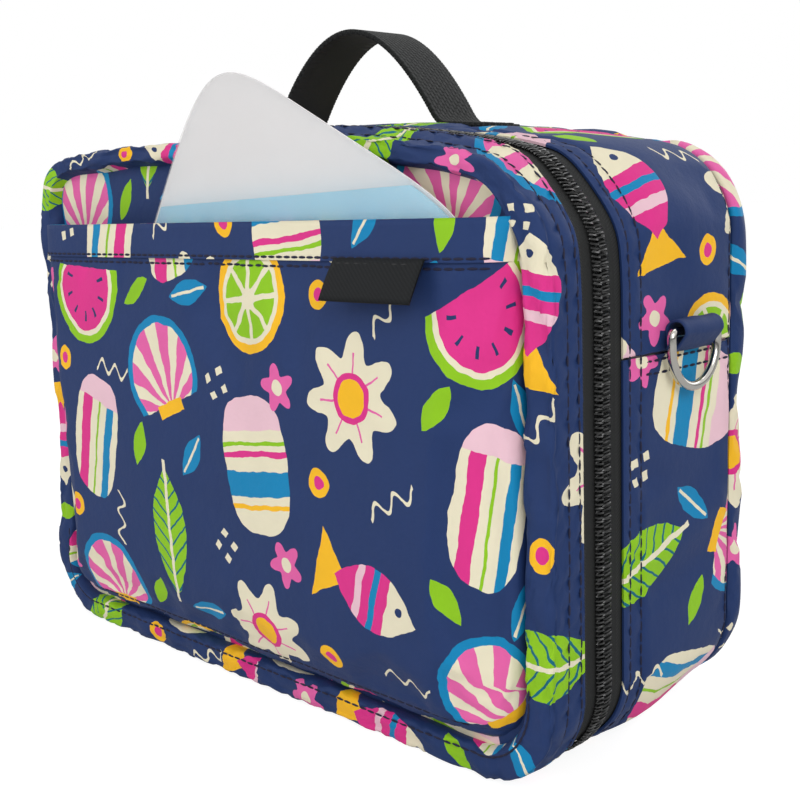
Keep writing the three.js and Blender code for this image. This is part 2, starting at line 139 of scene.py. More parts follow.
def onRail(along, depth, out):  # depth is Y, out is how far outside the line
    x, z, heading = railAt(along)
    fromLeft, fromRight = (along % railLength - middle for middle in (leftCornerMiddle, rightCornerMiddle))
    inFront = smoothStep(case["zipLine"] - depth, *droop["cornerDepth"])
    push = inFront * droop["cornerPush"] * bell(fromLeft, droop["pushReach"])
    lift = inFront * droop["cornerLift"] * bell(fromLeft, droop["liftReach"])
    forward = smoothStep(droop["sagFrom"] - depth, 0, droop["sagReach"])
    sag = droop["lipSag"] * forward * smoothStep(z, *droop["sagHeight"]) * smoothStep(x, *droop["sagAcross"])
    low = bell(z, droop["footReach"])
    push += droop["footLeft"] * inFront * low * (1 - smoothStep(x, -case["halfWidth"], droop["footSide"]))
    lift += droop["footRear"] * smoothStep(depth, droop["footRearFrom"], case["back"]) * low
    cut = droop["cornerCut"] * (1 - smoothStep(depth, *droop["cutDepth"]))
    inward = cut * bell(fromRight, droop["cutReach"])
    height = max(0, z - out * math.cos(heading)) + lift - sag - droop["cutDown"] * inward
    across = x + out * math.sin(heading) - push - droop["cutAcross"] * inward
    return Vector((across, depth - droop["footForward"] * forward * low, height))


def stationsBetween(first, last):
    marks = [
        leg["start"] + leg["length"] * step / leg["steps"] + turn * railLength
        for turn in (-1, 0, 1) for leg in railLegs for step in range(leg["steps"])
    ]
    closest = 0.3  # mm between stations
    return [first] + sorted(mark for mark in marks if first + closest < mark < last - closest) + [last]


# mesh helpers

def layUv(bm, rule):
    uv = bm.loops.layers.uv.verify()
    for face in bm.faces:
        for loop in face.loops:
            loop[uv].uv = [length * mm for length in rule(loop.vert)]


def growRow(bm, verts, closed):  # always in this order, or the cloth settles differently in each run
    row = [bm.verts.new(vert.co, vert) for vert in verts]
    for spot in range(0 if closed else 1, len(verts)):
        bm.faces.new((row[spot - 1], row[spot], verts[spot], verts[spot - 1]))
    return row


def faceTowards(bm, way, axis=1):
    if sum(face.normal[axis] for face in bm.faces) * way < 0:
        bmesh.ops.reverse_faces(bm, faces=bm.faces)


def sweepCloth(profile, first=0, last=railLength, shift=(0, 0), closed=True, place=onRail):
    bm = bmesh.new()
    alongLayer = bm.verts.layers.float.new("along")
    acrossLayer = bm.verts.layers.float.new("across")
    spotLayer = bm.verts.layers.int.new("spot")
    across = 0
    verts = []
    for spot, (depth, out) in enumerate(profile):
        if spot:
            across += math.dist(profile[spot - 1], profile[spot])
        vert = bm.verts.new(place(first, depth, out))
        vert[alongLayer], vert[acrossLayer], vert[spotLayer] = first, across, spot
        verts.append(vert)
    for along in stationsBetween(first, last)[1:]:
        verts = growRow(bm, verts, closed)
        for vert in verts:
            vert.co = place(along, *profile[vert[spotLayer]])
            vert[alongLayer] = along
    layUv(bm, lambda vert: (vert[alongLayer] + shift[0], vert[acrossLayer] + shift[1]))
    bmesh.ops.remove_doubles(bm, verts=bm.verts, dist=0.02)
    if closed:
        bmesh.ops.holes_fill(bm, edges=[edge for edge in bm.edges if edge.is_boundary])
    bmesh.ops.recalc_face_normals(bm, faces=bm.faces)
    return bm


def fillInward(bm, verts, centre, shares):  # rings drawn towards the middle, closed by one small face
    for before, share in zip([1] + shares, shares):
        verts = growRow(bm, verts, True)
        for vert in verts:
            vert.co = centre + (vert.co - centre) * (share / before)
    bm.faces.new(verts)
    bmesh.ops.recalc_face_normals(bm, faces=bm.faces)


def clothArea(bm):  # square metres
    return sum(face.calc_area() for face in bm.faces) * mm * mm


def ruffle(bm, height, size, seed, share=lambda place: 1):
    bm.normal_update()
    moves = []
    for vert in bm.verts:
        wave = noise.noise(vert.co / size + Vector((seed, 2 * seed, 0)))
        moves.append(vert.normal * wave * height * share(vert.co))
    for vert, move in zip(bm.verts, moves):
        vert.co += move
        vert.co.z = max(vert.co.z, 0)  # the case stands on the floor


def finishPiece(name, bm, material, body, nodes=(), sharp=50):
    bmesh.ops.scale(bm, vec=(mm, mm, mm), verts=bm.verts)
    mesh = bpy.data.meshes.new(name)
    bm.to_mesh(mesh)
    bm.free()
    return placeMesh(name, mesh, material, body, nodes, sharp)


def placeMesh(name, mesh, material, body, nodes, sharp):
    mesh.materials.clear()
    mesh.materials.append(material)
    mesh.shade_smooth()
    mesh.set_sharp_from_angle(angle=math.radians(sharp))
    piece = bpy.data.objects.new(name, mesh)
    scene.collection.objects.link(piece)
    if nodes:
        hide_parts(*nodes)
    if body:
        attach(piece, body)
    return piece


def thicken(piece, thickness, offset=-1):
    solid = piece.modifiers.new("wall", "SOLIDIFY")
    solid.thickness = thickness * mm
    solid.offset = offset


def soften(piece):
    smooth = piece.modifiers.new("smooth", "SUBSURF")
    smooth.levels = smooth.render_levels = 1


def nearness(place, middle, reach):  # 1 at the middle, falling off to 0
    return math.exp(-sum(((a - b) / c) ** 4 for a, b, c in zip(place, middle, reach)))


weave = dict(quality=6, mass=0.15, stretch=20, shear=8, bend=3, frames=20)


def settle(piece, held, spare, pressure, cap, calm=lambda place: 0):  # loose cloth between sewn rows
    mesh = piece.data
    spots = mesh.attributes["spot"].data
    group = piece.vertex_groups.new(name="sewn")
    group.add([number for number, spot in enumerate(spots) if spot.value in held], 1, "REPLACE")
    cloth = piece.modifiers.new("cloth", "CLOTH")
    cloth.settings.quality = weave["quality"]
    cloth.settings.mass = weave["mass"]
    cloth.settings.tension_stiffness = cloth.settings.compression_stiffness = weave["stretch"]
    cloth.settings.shear_stiffness = weave["shear"]
    cloth.settings.bending_stiffness = weave["bend"]
    cloth.settings.vertex_group_mass = group.name
    cloth.settings.use_pressure = True
    cloth.settings.uniform_pressure_force = pressure
    cloth.settings.shrink_min = -spare
    cloth.settings.effector_weights.gravity = 0
    cloth.collision_settings.use_collision = False
    cloth.point_cache.frame_start, cloth.point_cache.frame_end = 1, weave["frames"]
    for number in range(1, weave["frames"] + 1):
        scene.frame_set(number)
    shaped = piece.evaluated_get(bpy.context.evaluated_depsgraph_get()).data
    moves = [after.co - before.co for after, before in zip(shaped.vertices, mesh.vertices)]
    piece.modifiers.remove(cloth)
    piece.vertex_groups.remove(group)
    scene.frame_set(1)
    for vert, move in zip(mesh.vertices, moves):
        limit = cap * mm / max(move.length, 1e-9)
        vert.co += move * min(1, limit) * (1 - calm(vert.co / mm))
        vert.co.z = max(vert.co.z, 0)
    longest = max(move.length for move in moves) / mm
    print("settled", piece.name, round(longest, 2), "mm")


def wireMesh(name, points, radius, cyclic, sides):
    curve = bpy.data.curves.new(name, "CURVE")
    curve.dimensions = "3D"
    curve.bevel_depth = radius * mm
    curve.bevel_resolution = sides
    curve.use_fill_caps = not cyclic
    spline = curve.splines.new("POLY")
    spline.points.add(len(points) - 1)
    spline.use_cyclic_u = cyclic
    for point, spot in zip(points, spline.points):
        spot.co = (*(Vector(point) * mm), 1)
    holder = bpy.data.objects.new(name, curve)
    mesh = bpy.data.meshes.new_from_object(holder)
    bpy.data.objects.remove(holder)
    bpy.data.curves.remove(curve)
    return mesh


# materials

def colour(red, green, blue):  # screen values to linear
    return [((c / 255 + 0.055) / 1.055) ** 2.4 if c > 10 else c / 3295 for c in (red, green, blue)] + [1]


palette = dict(
    navy=colour(32, 54, 101), cream=colour(234, 226, 198), magenta=colour(222, 50, 138),
    pink=colour(230, 100, 168), pale=colour(236, 196, 208), blue=colour(6, 132, 184),
    lime=colour(142, 198, 28), yellow=colour(250, 190, 34), teal=colour(8, 104, 124),
)


def newMaterial(name):
    material = bpy.data.materials.new(name)
    material.use_nodes = True
    return material, material.node_tree, material.node_tree.nodes["Principled BSDF"]


def nodeMath(tree):
    def work(operation, *given):
        node = tree.nodes.new("ShaderNodeMath")
        node.operation = operation
        for socket, value in zip(node.inputs, given):
            if isinstance(value, (int, float)):
                socket.default_value = value
            else:
                tree.links.new(value, socket)
        return node.outputs[0]
    return work


def mixColour(tree, under, over, share):
    node = tree.nodes.new("ShaderNodeMix")
    node.data_type = "RGBA"
    for socket, value in ((node.inputs[0], share), (node.inputs[6], under), (node.inputs[7], over)):
        if hasattr(value, "is_linked"):
            tree.links.new(value, socket)
        else:
            socket.default_value = value
    return node.outputs[2]


def noiseNode(tree, vector, scale, detail=3, roughness=0.55):
    node = tree.nodes.new("ShaderNodeTexNoise")
    node.inputs["Scale"].default_value = scale
    node.inputs["Detail"].default_value = detail
    node.inputs["Roughness"].default_value = roughness
    tree.links.new(vector, node.inputs["Vector"])
    return node


def addBump(tree, shader, height, distance, strength=1, before=None):
    node = tree.nodes.new("ShaderNodeBump")
    node.inputs["Distance"].default_value = distance * mm
    node.inputs["Strength"].default_value = strength
    tree.links.new(height, node.inputs["Height"])
    if before:
        tree.links.new(before, node.inputs["Normal"])
    tree.links.new(node.outputs[0], shader.inputs["Normal"])
    return node.outputs[0]


def coordinates(tree, kind):
    return tree.nodes.new("ShaderNodeTexCoord").outputs[kind]


# printed cotton: fruit, flowers, leaves, fish and pebbles in a half-drop repeat on navy

printLayout = dict(
    columnWidth=47, rowHeight=55, wobble=1.1, sway=0.9, shift=5, fillerSway=6, fillerShift=3,
    daisy=15.5, leaf=(23, 9.5), melon=20.5, pebble=(15.5, 22), shell=20, fish=(17, 10), lemon=17,
    upright=(14, 23),
)


def printedCloth():
    material, tree, shader = newMaterial("printed cotton")
    work = nodeMath(tree)
    uv = coordinates(tree, "UV")

    wobble = noiseNode(tree, uv, 130, 2)
    away = tree.nodes.new("ShaderNodeSeparateXYZ")
    tree.links.new(wobble.outputs["Color"], away.inputs[0])
    flat = tree.nodes.new("ShaderNodeSeparateXYZ")
    tree.links.new(uv, flat.inputs[0])

    def inMillimetres(axis):
        drift = work("MULTIPLY", work("SUBTRACT", away.outputs[axis], 0.5), 2 * printLayout["wobble"])
        return work("MULTIPLY_ADD", flat.outputs[axis], 1000, drift)

    across, up = inMillimetres(0), inMillimetres(1)

    def below(value, limit):
        return work("LESS_THAN", value, limit)

    def above(value, limit):
        return work("GREATER_THAN", value, limit)

    def both(*masks):
        joined = masks[0]
        for mask in masks[1:]:
            joined = work("MULTIPLY", joined, mask)
        return joined

    def between(value, low, high):
        return below(work("ABSOLUTE", work("SUBTRACT", value, (low + high) / 2)), (high - low) / 2)

    def cells(moveAcross, moveUp, sway, shift, seed):
        width, height = printLayout["columnWidth"], printLayout["rowHeight"]
        column = work("DIVIDE", work("ADD", across, moveAcross), width)
        whole = work("FLOOR", column)
        drop = work("MULTIPLY", work("FLOORED_MODULO", whole, 2), 0.5)
        row = work("ADD", work("DIVIDE", work("ADD", up, moveUp), height), drop)
        wholeRow = work("FLOOR", row)
        p = work("MULTIPLY", work("SUBTRACT", work("FRACT", column), 0.5), width)
        q = work("MULTIPLY", work("SUBTRACT", work("FRACT", row), 0.5), height)
        spot = tree.nodes.new("ShaderNodeCombineXYZ")
        tree.links.new(whole, spot.inputs[0])
        tree.links.new(wholeRow, spot.inputs[1])
        spot.inputs[2].default_value = seed
        chance = tree.nodes.new("ShaderNodeTexWhiteNoise")
        tree.links.new(spot.outputs[0], chance.inputs["Vector"])
        three = tree.nodes.new("ShaderNodeSeparateColor")
        tree.links.new(chance.outputs["Color"], three.inputs[0])
        p = work("MULTIPLY_ADD", work("SUBTRACT", three.outputs[0], 0.5), shift, p)
        q = work("MULTIPLY_ADD", work("SUBTRACT", three.outputs[1], 0.5), shift, q)
        angle = work("MULTIPLY", work("SUBTRACT", three.outputs[2], 0.5), sway)
        cosine, sine = work("COSINE", angle), work("SINE", angle)
        turnedP = work("SUBTRACT", work("MULTIPLY", p, cosine), work("MULTIPLY", q, sine))
        turnedQ = work("ADD", work("MULTIPLY", p, sine), work("MULTIPLY", q, cosine))
        pick = work("MULTIPLY_ADD", wholeRow, 3, work("MULTIPLY", whole, 2))
        return turnedP, turnedQ, pick

    def radiusAndAngle(p, q):
        square = work("MULTIPLY_ADD", p, p, work("MULTIPLY", q, q))
        return work("SQRT", square), work("ARCTAN2", q, p)

    def isKind(pick, kinds, kind):
        turn = work("FLOORED_MODULO", work("ADD", pick, 0.5), kinds)
        return between(turn, kind, kind + 1)

    def lens(p, q, length, width):
        along = work("DIVIDE", q, length)
        edge = work("MULTIPLY", work("SUBTRACT", 1, work("MULTIPLY", along, along)), width)
        return below(work("ABSOLUTE", p), edge)

    def pebble(p, q, width, length):
        side = work("POWER", work("ABSOLUTE", work("DIVIDE", p, width)), 3)
        end = work("POWER", work("ABSOLUTE", work("DIVIDE", q, length)), 3)
        return below(work("ADD", side, end), 1)

    painted = palette["navy"]

    def paint(name, mask):
        nonlocal painted
        painted = mixColour(tree, painted, palette[name], mask)

    def stripes(mask, value, *bands):
        for name, low, high in bands:
            paint(name, both(mask, between(value, low, high)))

    p, q, pick = cells(0, 0, printLayout["sway"], printLayout["shift"], 1)
    radius, angle = radiusAndAngle(p, q)
    kinds = 8

    here = isKind(pick, kinds, 0)  # daisy
    petals = work("MULTIPLY_ADD", work("COSINE", work("MULTIPLY", angle, 7)), 3.6, printLayout["daisy"])
    paint("cream", both(here, below(radius, petals)))
    fromVein = work("MULTIPLY", work("SINE", work("MULTIPLY", angle, 3.5)), radius)
    paint("pink", both(here, below(work("ABSOLUTE", fromVein), 1.1), below(radius, 13)))
    paint("magenta", both(here, below(radius, 7.4)))
    paint("yellow", both(here, below(radius, 5.6)))

    here = isKind(pick, kinds, 1)  # leaf
    blade = both(here, lens(p, q, *printLayout["leaf"]))
    paint("lime", blade)
    rib = work("FLOORED_MODULO", work("SUBTRACT", q, work("MULTIPLY", work("ABSOLUTE", p), 0.9)), 5.5)
    paint("teal", both(blade, below(rib, 1)))
    paint("cream", both(here, below(work("ABSOLUTE", p), 0.8), below(work("ABSOLUTE", q), 26)))

    here = isKind(pick, kinds, 2)  # melon slice
    half = both(here, below(q, 7), below(radius, printLayout["melon"]))
    paint("lime", half)
    paint("cream", both(half, below(radius, 17.6)))
    paint("magenta", both(half, below(radius, 15.8)))
    seedTurn = work("ABSOLUTE", work("SUBTRACT", work("FRACT", work("MULTIPLY", angle, 1.6)), 0.5))
    paint("navy", both(half, between(radius, 9, 12.6), below(seedTurn, 0.085)))

    here = isKind(pick, kinds, 3)  # banded pebble
    stone = both(here, pebble(p, q, *printLayout["pebble"]))
    paint("cream", stone)
    paint("pale", both(stone, above(q, 11)))
    stripes(stone, q, ("lime", 6, 7.3), ("magenta", 2.4, 4.2), ("blue", -10, -2), ("yellow", -14.2, -12.6))

    here = isKind(pick, kinds, 4)  # fan shell
    fan = both(here, above(q, -11), below(radius, printLayout["shell"]))
    paint("pink", fan)
    rays = above(work("SINE", work("MULTIPLY", work("ARCTAN2", work("ADD", q, 13), p), 13)), 0.1)
    paint("cream", both(fan, rays))
    paint("blue", both(fan, above(radius, 17.2)))
    paint("yellow", both(here, between(q, -14.5, -10), below(work("ABSOLUTE", p), 7)))

    here = isKind(pick, kinds, 5)  # fish
    body = both(here, lens(q, work("SUBTRACT", p, 4), *printLayout["fish"]))
    fin = work("MULTIPLY_ADD", work("ADD", p, 9), -0.85, 1.5)
    tail = both(here, between(p, -21, -10), below(work("ABSOLUTE", q), fin))
    paint("yellow", tail)
    paint("magenta", body)
    stripes(body, p, ("pale", -4, -1), ("blue", 2.5, 5))
    paint("cream", both(body, above(p, 9)))
    fromEye = radiusAndAngle(work("SUBTRACT", p, 14), work("SUBTRACT", q, 1.5))[0]
    paint("navy", both(here, below(fromEye, 1.4)))

    here = isKind(pick, kinds, 6)  # lemon slice
    paint("yellow", both(here, below(radius, printLayout["lemon"])))
    paint("cream", both(here, below(radius, 14.4)))
    spoke = work("ABSOLUTE", work("MULTIPLY", work("SINE", work("MULTIPLY", angle, 4)), radius))
    paint("lime", both(here, between(radius, 2.4, 12.6), above(spoke, 3.4)))

    here = isKind(pick, kinds, 7)  # upright striped pebble
    stone = both(here, pebble(p, q, *printLayout["upright"]))
    paint("cream", stone)
    stripes(stone, p, ("magenta", -10, -4), ("blue", 5.5, 10), ("lime", 0, 1.2))
    paint("pale", both(stone, above(q, 14)))

    # small fillers beside them
    fillerSway, fillerShift = printLayout["fillerSway"], printLayout["fillerShift"]
    p, q, pick = cells(-15.5, -27.5, fillerSway, fillerShift, 2)
    radius, angle = radiusAndAngle(p, q)
    here = isKind(pick, 3, 0)
    bud = work("MULTIPLY_ADD", work("COSINE", work("MULTIPLY", angle, 5)), 1.7, 6.2)
    paint("pink", both(here, below(radius, bud)))
    paint("cream", both(here, below(radius, 2.4)))
    here = isKind(pick, 3, 1)
    paint("blue", both(here, lens(p, q, 9.5, 4)))
    paint("cream", both(here, below(work("ABSOLUTE", p), 0.5), below(work("ABSOLUTE", q), 8)))
    here = isKind(pick, 3, 2)
    wave = work("MULTIPLY", work("SINE", work("MULTIPLY", p, 0.75)), 2.2)
    fromWave = work("ABSOLUTE", work("SUBTRACT", q, wave))
    paint("cream", both(here, below(fromWave, 0.7), below(work("ABSOLUTE", p), 10)))

    p, q, pick = cells(-31, 0, fillerSway, fillerShift, 3)
    radius = radiusAndAngle(p, q)[0]
    here = isKind(pick, 3, 0)
    paint("yellow", both(here, below(radius, 4.6)))
    paint("magenta", both(here, below(radius, 2.2)))
    here = isKind(pick, 3, 1)
    dots = [below(work("ABSOLUTE", work("SUBTRACT", work("ABSOLUTE", way), 3)), 1.3) for way in (p, q)]
    paint("cream", both(here, both(*dots)))
    here = isKind(pick, 3, 2)
    paint("lime", both(here, lens(p, q, 8, 3.4)))

    fade = noiseNode(tree, uv, 60, 4)
    dull = tree.nodes.new("ShaderNodeHueSaturation")
    tree.links.new(painted, dull.inputs["Color"])
    tree.links.new(work("MULTIPLY_ADD", fade.outputs[0], 0.16, 0.92), dull.inputs["Value"])
    tree.links.new(dull.outputs[0], shader.inputs["Base Color"])
    clothSurface(tree, shader, uv, work)
    return material


def clothSurface(tree, shader, uv, work):
    shader.inputs["Roughness"].default_value = 0.62
    shader.inputs["Specular IOR Level"].default_value = 0.22
    shader.inputs["Sheen Weight"].default_value = 0.02
    shader.inputs["Sheen Roughness"].default_value = 0.4
    creases = noiseNode(tree, uv, 34, 5, 0.6)
    first = addBump(tree, shader, creases.outputs[0], 2.2, 0.5)
    flat = tree.nodes.new("ShaderNodeSeparateXYZ")
    tree.links.new(uv, flat.inputs[0])
    threads = [work("SINE", work("MULTIPLY", flat.outputs[axis], 11000)) for axis in (0, 1)]
    addBump(tree, shader, work("MULTIPLY", *threads), 0.05, 0.35, first)


def plainCloth(name, tone):
    material, tree, shader = newMaterial(name)
    work = nodeMath(tree)
    uv = coordinates(tree, "UV")
    fade = noiseNode(tree, uv, 90, 4)
    darker = [0.82 * part for part in tone[:3]] + [1]
    tree.links.new(mixColour(tree, darker, tone, fade.outputs[0]), shader.inputs["Base Color"])
    clothSurface(tree, shader, uv, work)
    return material


def wovenTape(name, tone, pitch, depth, twill):
    material, tree, shader = newMaterial(name)
    work = nodeMath(tree)
    flat = tree.nodes.new("ShaderNodeSeparateXYZ")
    tree.links.new(coordinates(tree, "UV"), flat.inputs[0])
    along = work("MULTIPLY", flat.outputs[0], 1000 / pitch[0])
    across = work("MULTIPLY", flat.outputs[1], 1000 / pitch[1])
    shifted = work("MULTIPLY_ADD", work("FLOOR", across), twill, along)
    ribs = work("MULTIPLY", work("SINE", work("MULTIPLY", work("FRACT", shifted), math.pi)),
                work("SINE", work("MULTIPLY", work("FRACT", across), math.pi)))
    # painted shade: the weave's colour falls to 0.45 of its tone in the grooves between ribs and keeps its
    # full tone on the rib crowns, in step with the bump
    grooveShade = [0.45 * part for part in tone[:3]] + [1]
    tree.links.new(mixColour(tree, grooveShade, tone, ribs), shader.inputs["Base Color"])
    shader.inputs["Roughness"].default_value = 0.68
    shader.inputs["Specular IOR Level"].default_value = 0.16
    addBump(tree, shader, ribs, depth, 0.9)
    return material


def speckled(name, tone, roughness, grain, metallic=0.0, bump=0.05, coat=0.0):
    material, tree, shader = newMaterial(name)
    spots = noiseNode(tree, coordinates(tree, "Object"), grain, 4)
    darker = [0.8 * part for part in tone[:3]] + [1]
    tree.links.new(mixColour(tree, darker, tone, spots.outputs[0]), shader.inputs["Base Color"])
    work = nodeMath(tree)
    uneven = work("MULTIPLY_ADD", spots.outputs[0], 0.16, roughness - 0.08)
    tree.links.new(uneven, shader.inputs["Roughness"])
    shader.inputs["Metallic"].default_value = metallic
    shader.inputs["Coat Weight"].default_value = coat
    addBump(tree, shader, spots.outputs[0], bump, 0.6)
    return material


printCotton = printedCloth()
navyCotton = plainCloth("navy cotton", palette["navy"])
blackTape = wovenTape("zip tape weave", colour(57, 58, 58), (1.1, 0.55), 0.12, 0.33)
blackWebbing = wovenTape("webbing weave", colour(47, 49, 49), (2.6, 1.7), 0.5, 0.5)
strapBacking = speckled("plain webbing back", colour(41, 41, 41), 0.85, 900)
blackElastic = wovenTape("ribbed elastic", colour(46, 46, 48), (0.9, 2.2), 0.25, 0)
labelSatin = wovenTape("label satin", colour(32, 34, 36), (1.6, 0.3), 0.03, 0.27)
netThread = speckled("net thread", colour(44, 48, 56), 0.75, 900)
coilNylon = speckled("coil nylon", colour(27, 28, 28), 0.27, 700)
navyThread = speckled("navy thread", colour(15, 17, 50), 0.8, 1500)
blackThread = speckled("black thread", colour(24, 24, 26), 0.7, 1500)
nickel = speckled("polished nickel", colour(204, 201, 194), 0.1, 260, 1.0, 0.02)
blackEnamel = speckled("black enamel", colour(28, 28, 30), 0.34, 420, 0.0, 0.03, 0.4)
foamCells = speckled("foam cells", colour(222, 222, 216), 0.9, 1400, 0.0, 0.3)
print("materials ready")


# camera at the photo's place, soft light, pale floor

view = dict(place=(0.3063, -0.2848, 0.1623), yaw=-44.95, pitch=-9.66, roll=-1.99, lens=53.2)


studio = dict(
    fill=0.4, mirrorLow=0.12, mirrorTop=0.35,
    floorRadius=12, floorDrop=0.0004, floorTone=0.9, floorGlow=1.24, mirrorLoss=0.66, floorWhite=0.72,
    target=(0, 0, 0.1),
    lamps=[
        ("key softbox", (1.2, -0.7, 0.9), 0.9, 10.5), ("front softbox", (-0.5, -1.3, 0.6), 1.0, 6),
        ("top softbox", (0.1, 0.5, 1.5), 1.0, 3.5), ("back softbox", (0.2, 1.4, 0.6), 1.0, 4),
    ],
)


def addCamera():
    yaw, pitch, roll = (math.radians(view[key]) for key in ("yaw", "pitch", "roll"))
    ahead = Vector((math.sin(yaw) * math.cos(pitch), math.cos(yaw) * math.cos(pitch), math.sin(pitch)))
    right = ahead.cross((0, 0, 1)).normalized()
    upward = right.cross(ahead)
    rolledRight = math.cos(roll) * right + math.sin(roll) * upward
    rolledUp = math.cos(roll) * upward - math.sin(roll) * right
    turn = Matrix((rolledRight, rolledUp, -ahead)).transposed()
    data = bpy.data.cameras.new("photo camera")
    data.lens, data.sensor_width = view["lens"], 36
    data.clip_start = 0.01
    camera = bpy.data.objects.new("photo camera", data)
    camera.matrix_world = Matrix.Translation(view["place"]) @ turn.to_4x4()
    scene.collection.objects.link(camera)
    scene.camera = camera


def addLamp(name, place, size, power):
    data = bpy.data.lights.new(name, "AREA")
    data.energy, data.size = power, size
    lamp = bpy.data.objects.new(name, data)
    lamp.location = place
    lamp.rotation_euler = (Vector(studio["target"]) - Vector(place)).to_track_quat("-Z", "Y").to_euler()
    scene.collection.objects.link(lamp)


def seenDirectly(tree):
    rays = tree.nodes.new("ShaderNodeLightPath")
    work = nodeMath(tree)
    glossy = work("MAXIMUM", rays.outputs["Is Glossy Ray"], rays.outputs["Is Transmission Ray"])
    return work("MAXIMUM", rays.outputs["Is Camera Ray"], glossy)


def addStage():
    world = bpy.data.worlds.new("studio")
    scene.world = world
    world.use_nodes = True
    tree = world.node_tree
    soft = tree.nodes["Background"]
    soft.inputs["Color"].default_value = (1, 1, 1, 1)
    soft.inputs["Strength"].default_value = studio["fill"]
    white = tree.nodes.new("ShaderNodeBackground")
    white.inputs["Strength"].default_value = 1
    direction = tree.nodes.new("ShaderNodeSeparateXYZ")
    tree.links.new(coordinates(tree, "Generated"), direction.inputs[0])
    band = tree.nodes.new("ShaderNodeValToRGB")  # what metal mirrors, dark at eye height
    tree.links.new(direction.outputs[2], band.inputs[0])
    low, top = band.color_ramp.elements
    low.position, low.color = 0, [studio["mirrorLow"]] * 3 + [1]
    top.position, top.color = studio["mirrorTop"], (1, 1, 1, 1)
    glossy = tree.nodes.new("ShaderNodeLightPath").outputs["Is Glossy Ray"]
    tree.links.new(mixColour(tree, (1, 1, 1, 1), band.outputs[0], glossy), white.inputs["Color"])
    mix = tree.nodes.new("ShaderNodeMixShader")
    tree.links.new(seenDirectly(tree), mix.inputs[0])
    tree.links.new(soft.outputs[0], mix.inputs[1])
    tree.links.new(white.outputs[0], mix.inputs[2])
    tree.links.new(mix.outputs[0], tree.nodes["World Output"].inputs["Surface"])

    bm = bmesh.new()
    bmesh.ops.create_circle(bm, cap_ends=True, segments=64, radius=studio["floorRadius"])
    bmesh.ops.translate(bm, vec=(0, 0, -studio["floorDrop"]), verts=bm.verts)
    mesh = bpy.data.meshes.new("floor")
    bm.to_mesh(mesh)
    bm.free()
    material, tree, shader = newMaterial("pale floor")
    shader.inputs["Base Color"].default_value = [studio["floorTone"]] * 3 + [1]
    shader.inputs["Roughness"].default_value = 0.9
    glow = tree.nodes.new("ShaderNodeEmission")
    mix = tree.nodes.new("ShaderNodeMixShader")
    work = nodeMath(tree)
    mirrored = tree.nodes.new("ShaderNodeLightPath").outputs["Is Glossy Ray"]  # metal mirrors it darker
    strength = work("MULTIPLY_ADD", mirrored, -studio["mirrorLoss"], studio["floorGlow"])
    tree.links.new(strength, glow.inputs["Strength"])
    tree.links.new(work("MULTIPLY", seenDirectly(tree), studio["floorWhite"]), mix.inputs[0])
    tree.links.new(shader.outputs[0], mix.inputs[1])
    tree.links.new(glow.outputs[0], mix.inputs[2])
    tree.links.new(mix.outputs[0], tree.nodes["Material Output"].inputs["Surface"])
    mesh.materials.append(material)
    floor = bpy.data.objects.new("floor", mesh)
    scene.collection.objects.link(floor)

    for lamp in studio["lamps"]:
        addLamp(*lamp)
    scene.view_settings.view_transform = "Standard"


addCamera()
addStage()
print("stage ready")


# stitches

stitch = dict(length=3.2, pitch=3.5, width=0.85, height=0.5, proud=0.1, batch=40)


def stitchPlace(place, along, out):
    along, out = along.normalized(), out.normalized()
    turn = Matrix((out, along.cross(out), along)).transposed().to_4x4()
    size = Matrix.Diagonal((stitch["height"] / 2, stitch["width"] / 2, stitch["length"] / 2, 1))
    return Matrix.Translation(place) @ turn @ size


def railRow(depth, out):  # once round the case
    count = int(railLength / stitch["pitch"])
    places = []
    for number in range(count):
        along = (number + 0.5) * railLength / count
        heading = railAt(along)[2]
        lean = 0.05 * noise.noise(Vector((along, depth, 0.5)))
        tangent = Vector((math.cos(heading), lean, math.sin(heading)))
        outward = Vector((math.sin(heading), 0, -math.cos(heading)))
        spot = onRail(along, depth, out)
        spot.z = max(spot.z, 0.3)
        places.append(stitchPlace(spot, tangent, outward))
    return places


def lineRow(points, out):
    lengths = [(b - a).length for a, b in zip(points, points[1:])]
    total, reached, spot = sum(lengths), 0, 0
    count = max(1, int(total / stitch["pitch"]))
    places = []
    for number in range(count):
        goal = (number + 0.5) * total / count
        while reached + lengths[spot] < goal:
            reached += lengths[spot]
            spot += 1
        a, b = points[spot], points[spot + 1]
        places.append(stitchPlace(a.lerp(b, (goal - reached) / lengths[spot]), b - a, out))
    return places


def ontoCloth(places, *pieces):  # each stitch lies on the settled cloth
    trees = [
        BVHTree.FromPolygons(
            [vert.co / mm for vert in piece.data.vertices], [face.vertices[:] for face in piece.data.polygons]
        )
        for piece in pieces
    ]
    for place in places:
        hits = [tree.find_nearest(place.translation) for tree in trees]
        spot, normal = min(hits, key=lambda hit: hit[3])[:2]
        place.translation = spot + normal * stitch["proud"]
    return places


def joinInto(bm, other):
    mesh = bpy.data.meshes.new("part")
    other.to_mesh(mesh)
    other.free()
    bm.from_mesh(mesh)
    bpy.data.meshes.remove(mesh)


def sew(name, places, thread, body):
    bm = bmesh.new()
    for first in range(0, len(places), stitch["batch"]):  # small batches keep the operator quick
        few = bmesh.new()
        for place in places[first:first + stitch["batch"]]:
            bmesh.ops.create_uvsphere(few, u_segments=6, v_segments=4, radius=1, matrix=place)
        joinInto(bm, few)
    return finishPiece(name, bm, thread, body, [])


# front lip: one cloth from the zip, over the padded roll and down into the recess

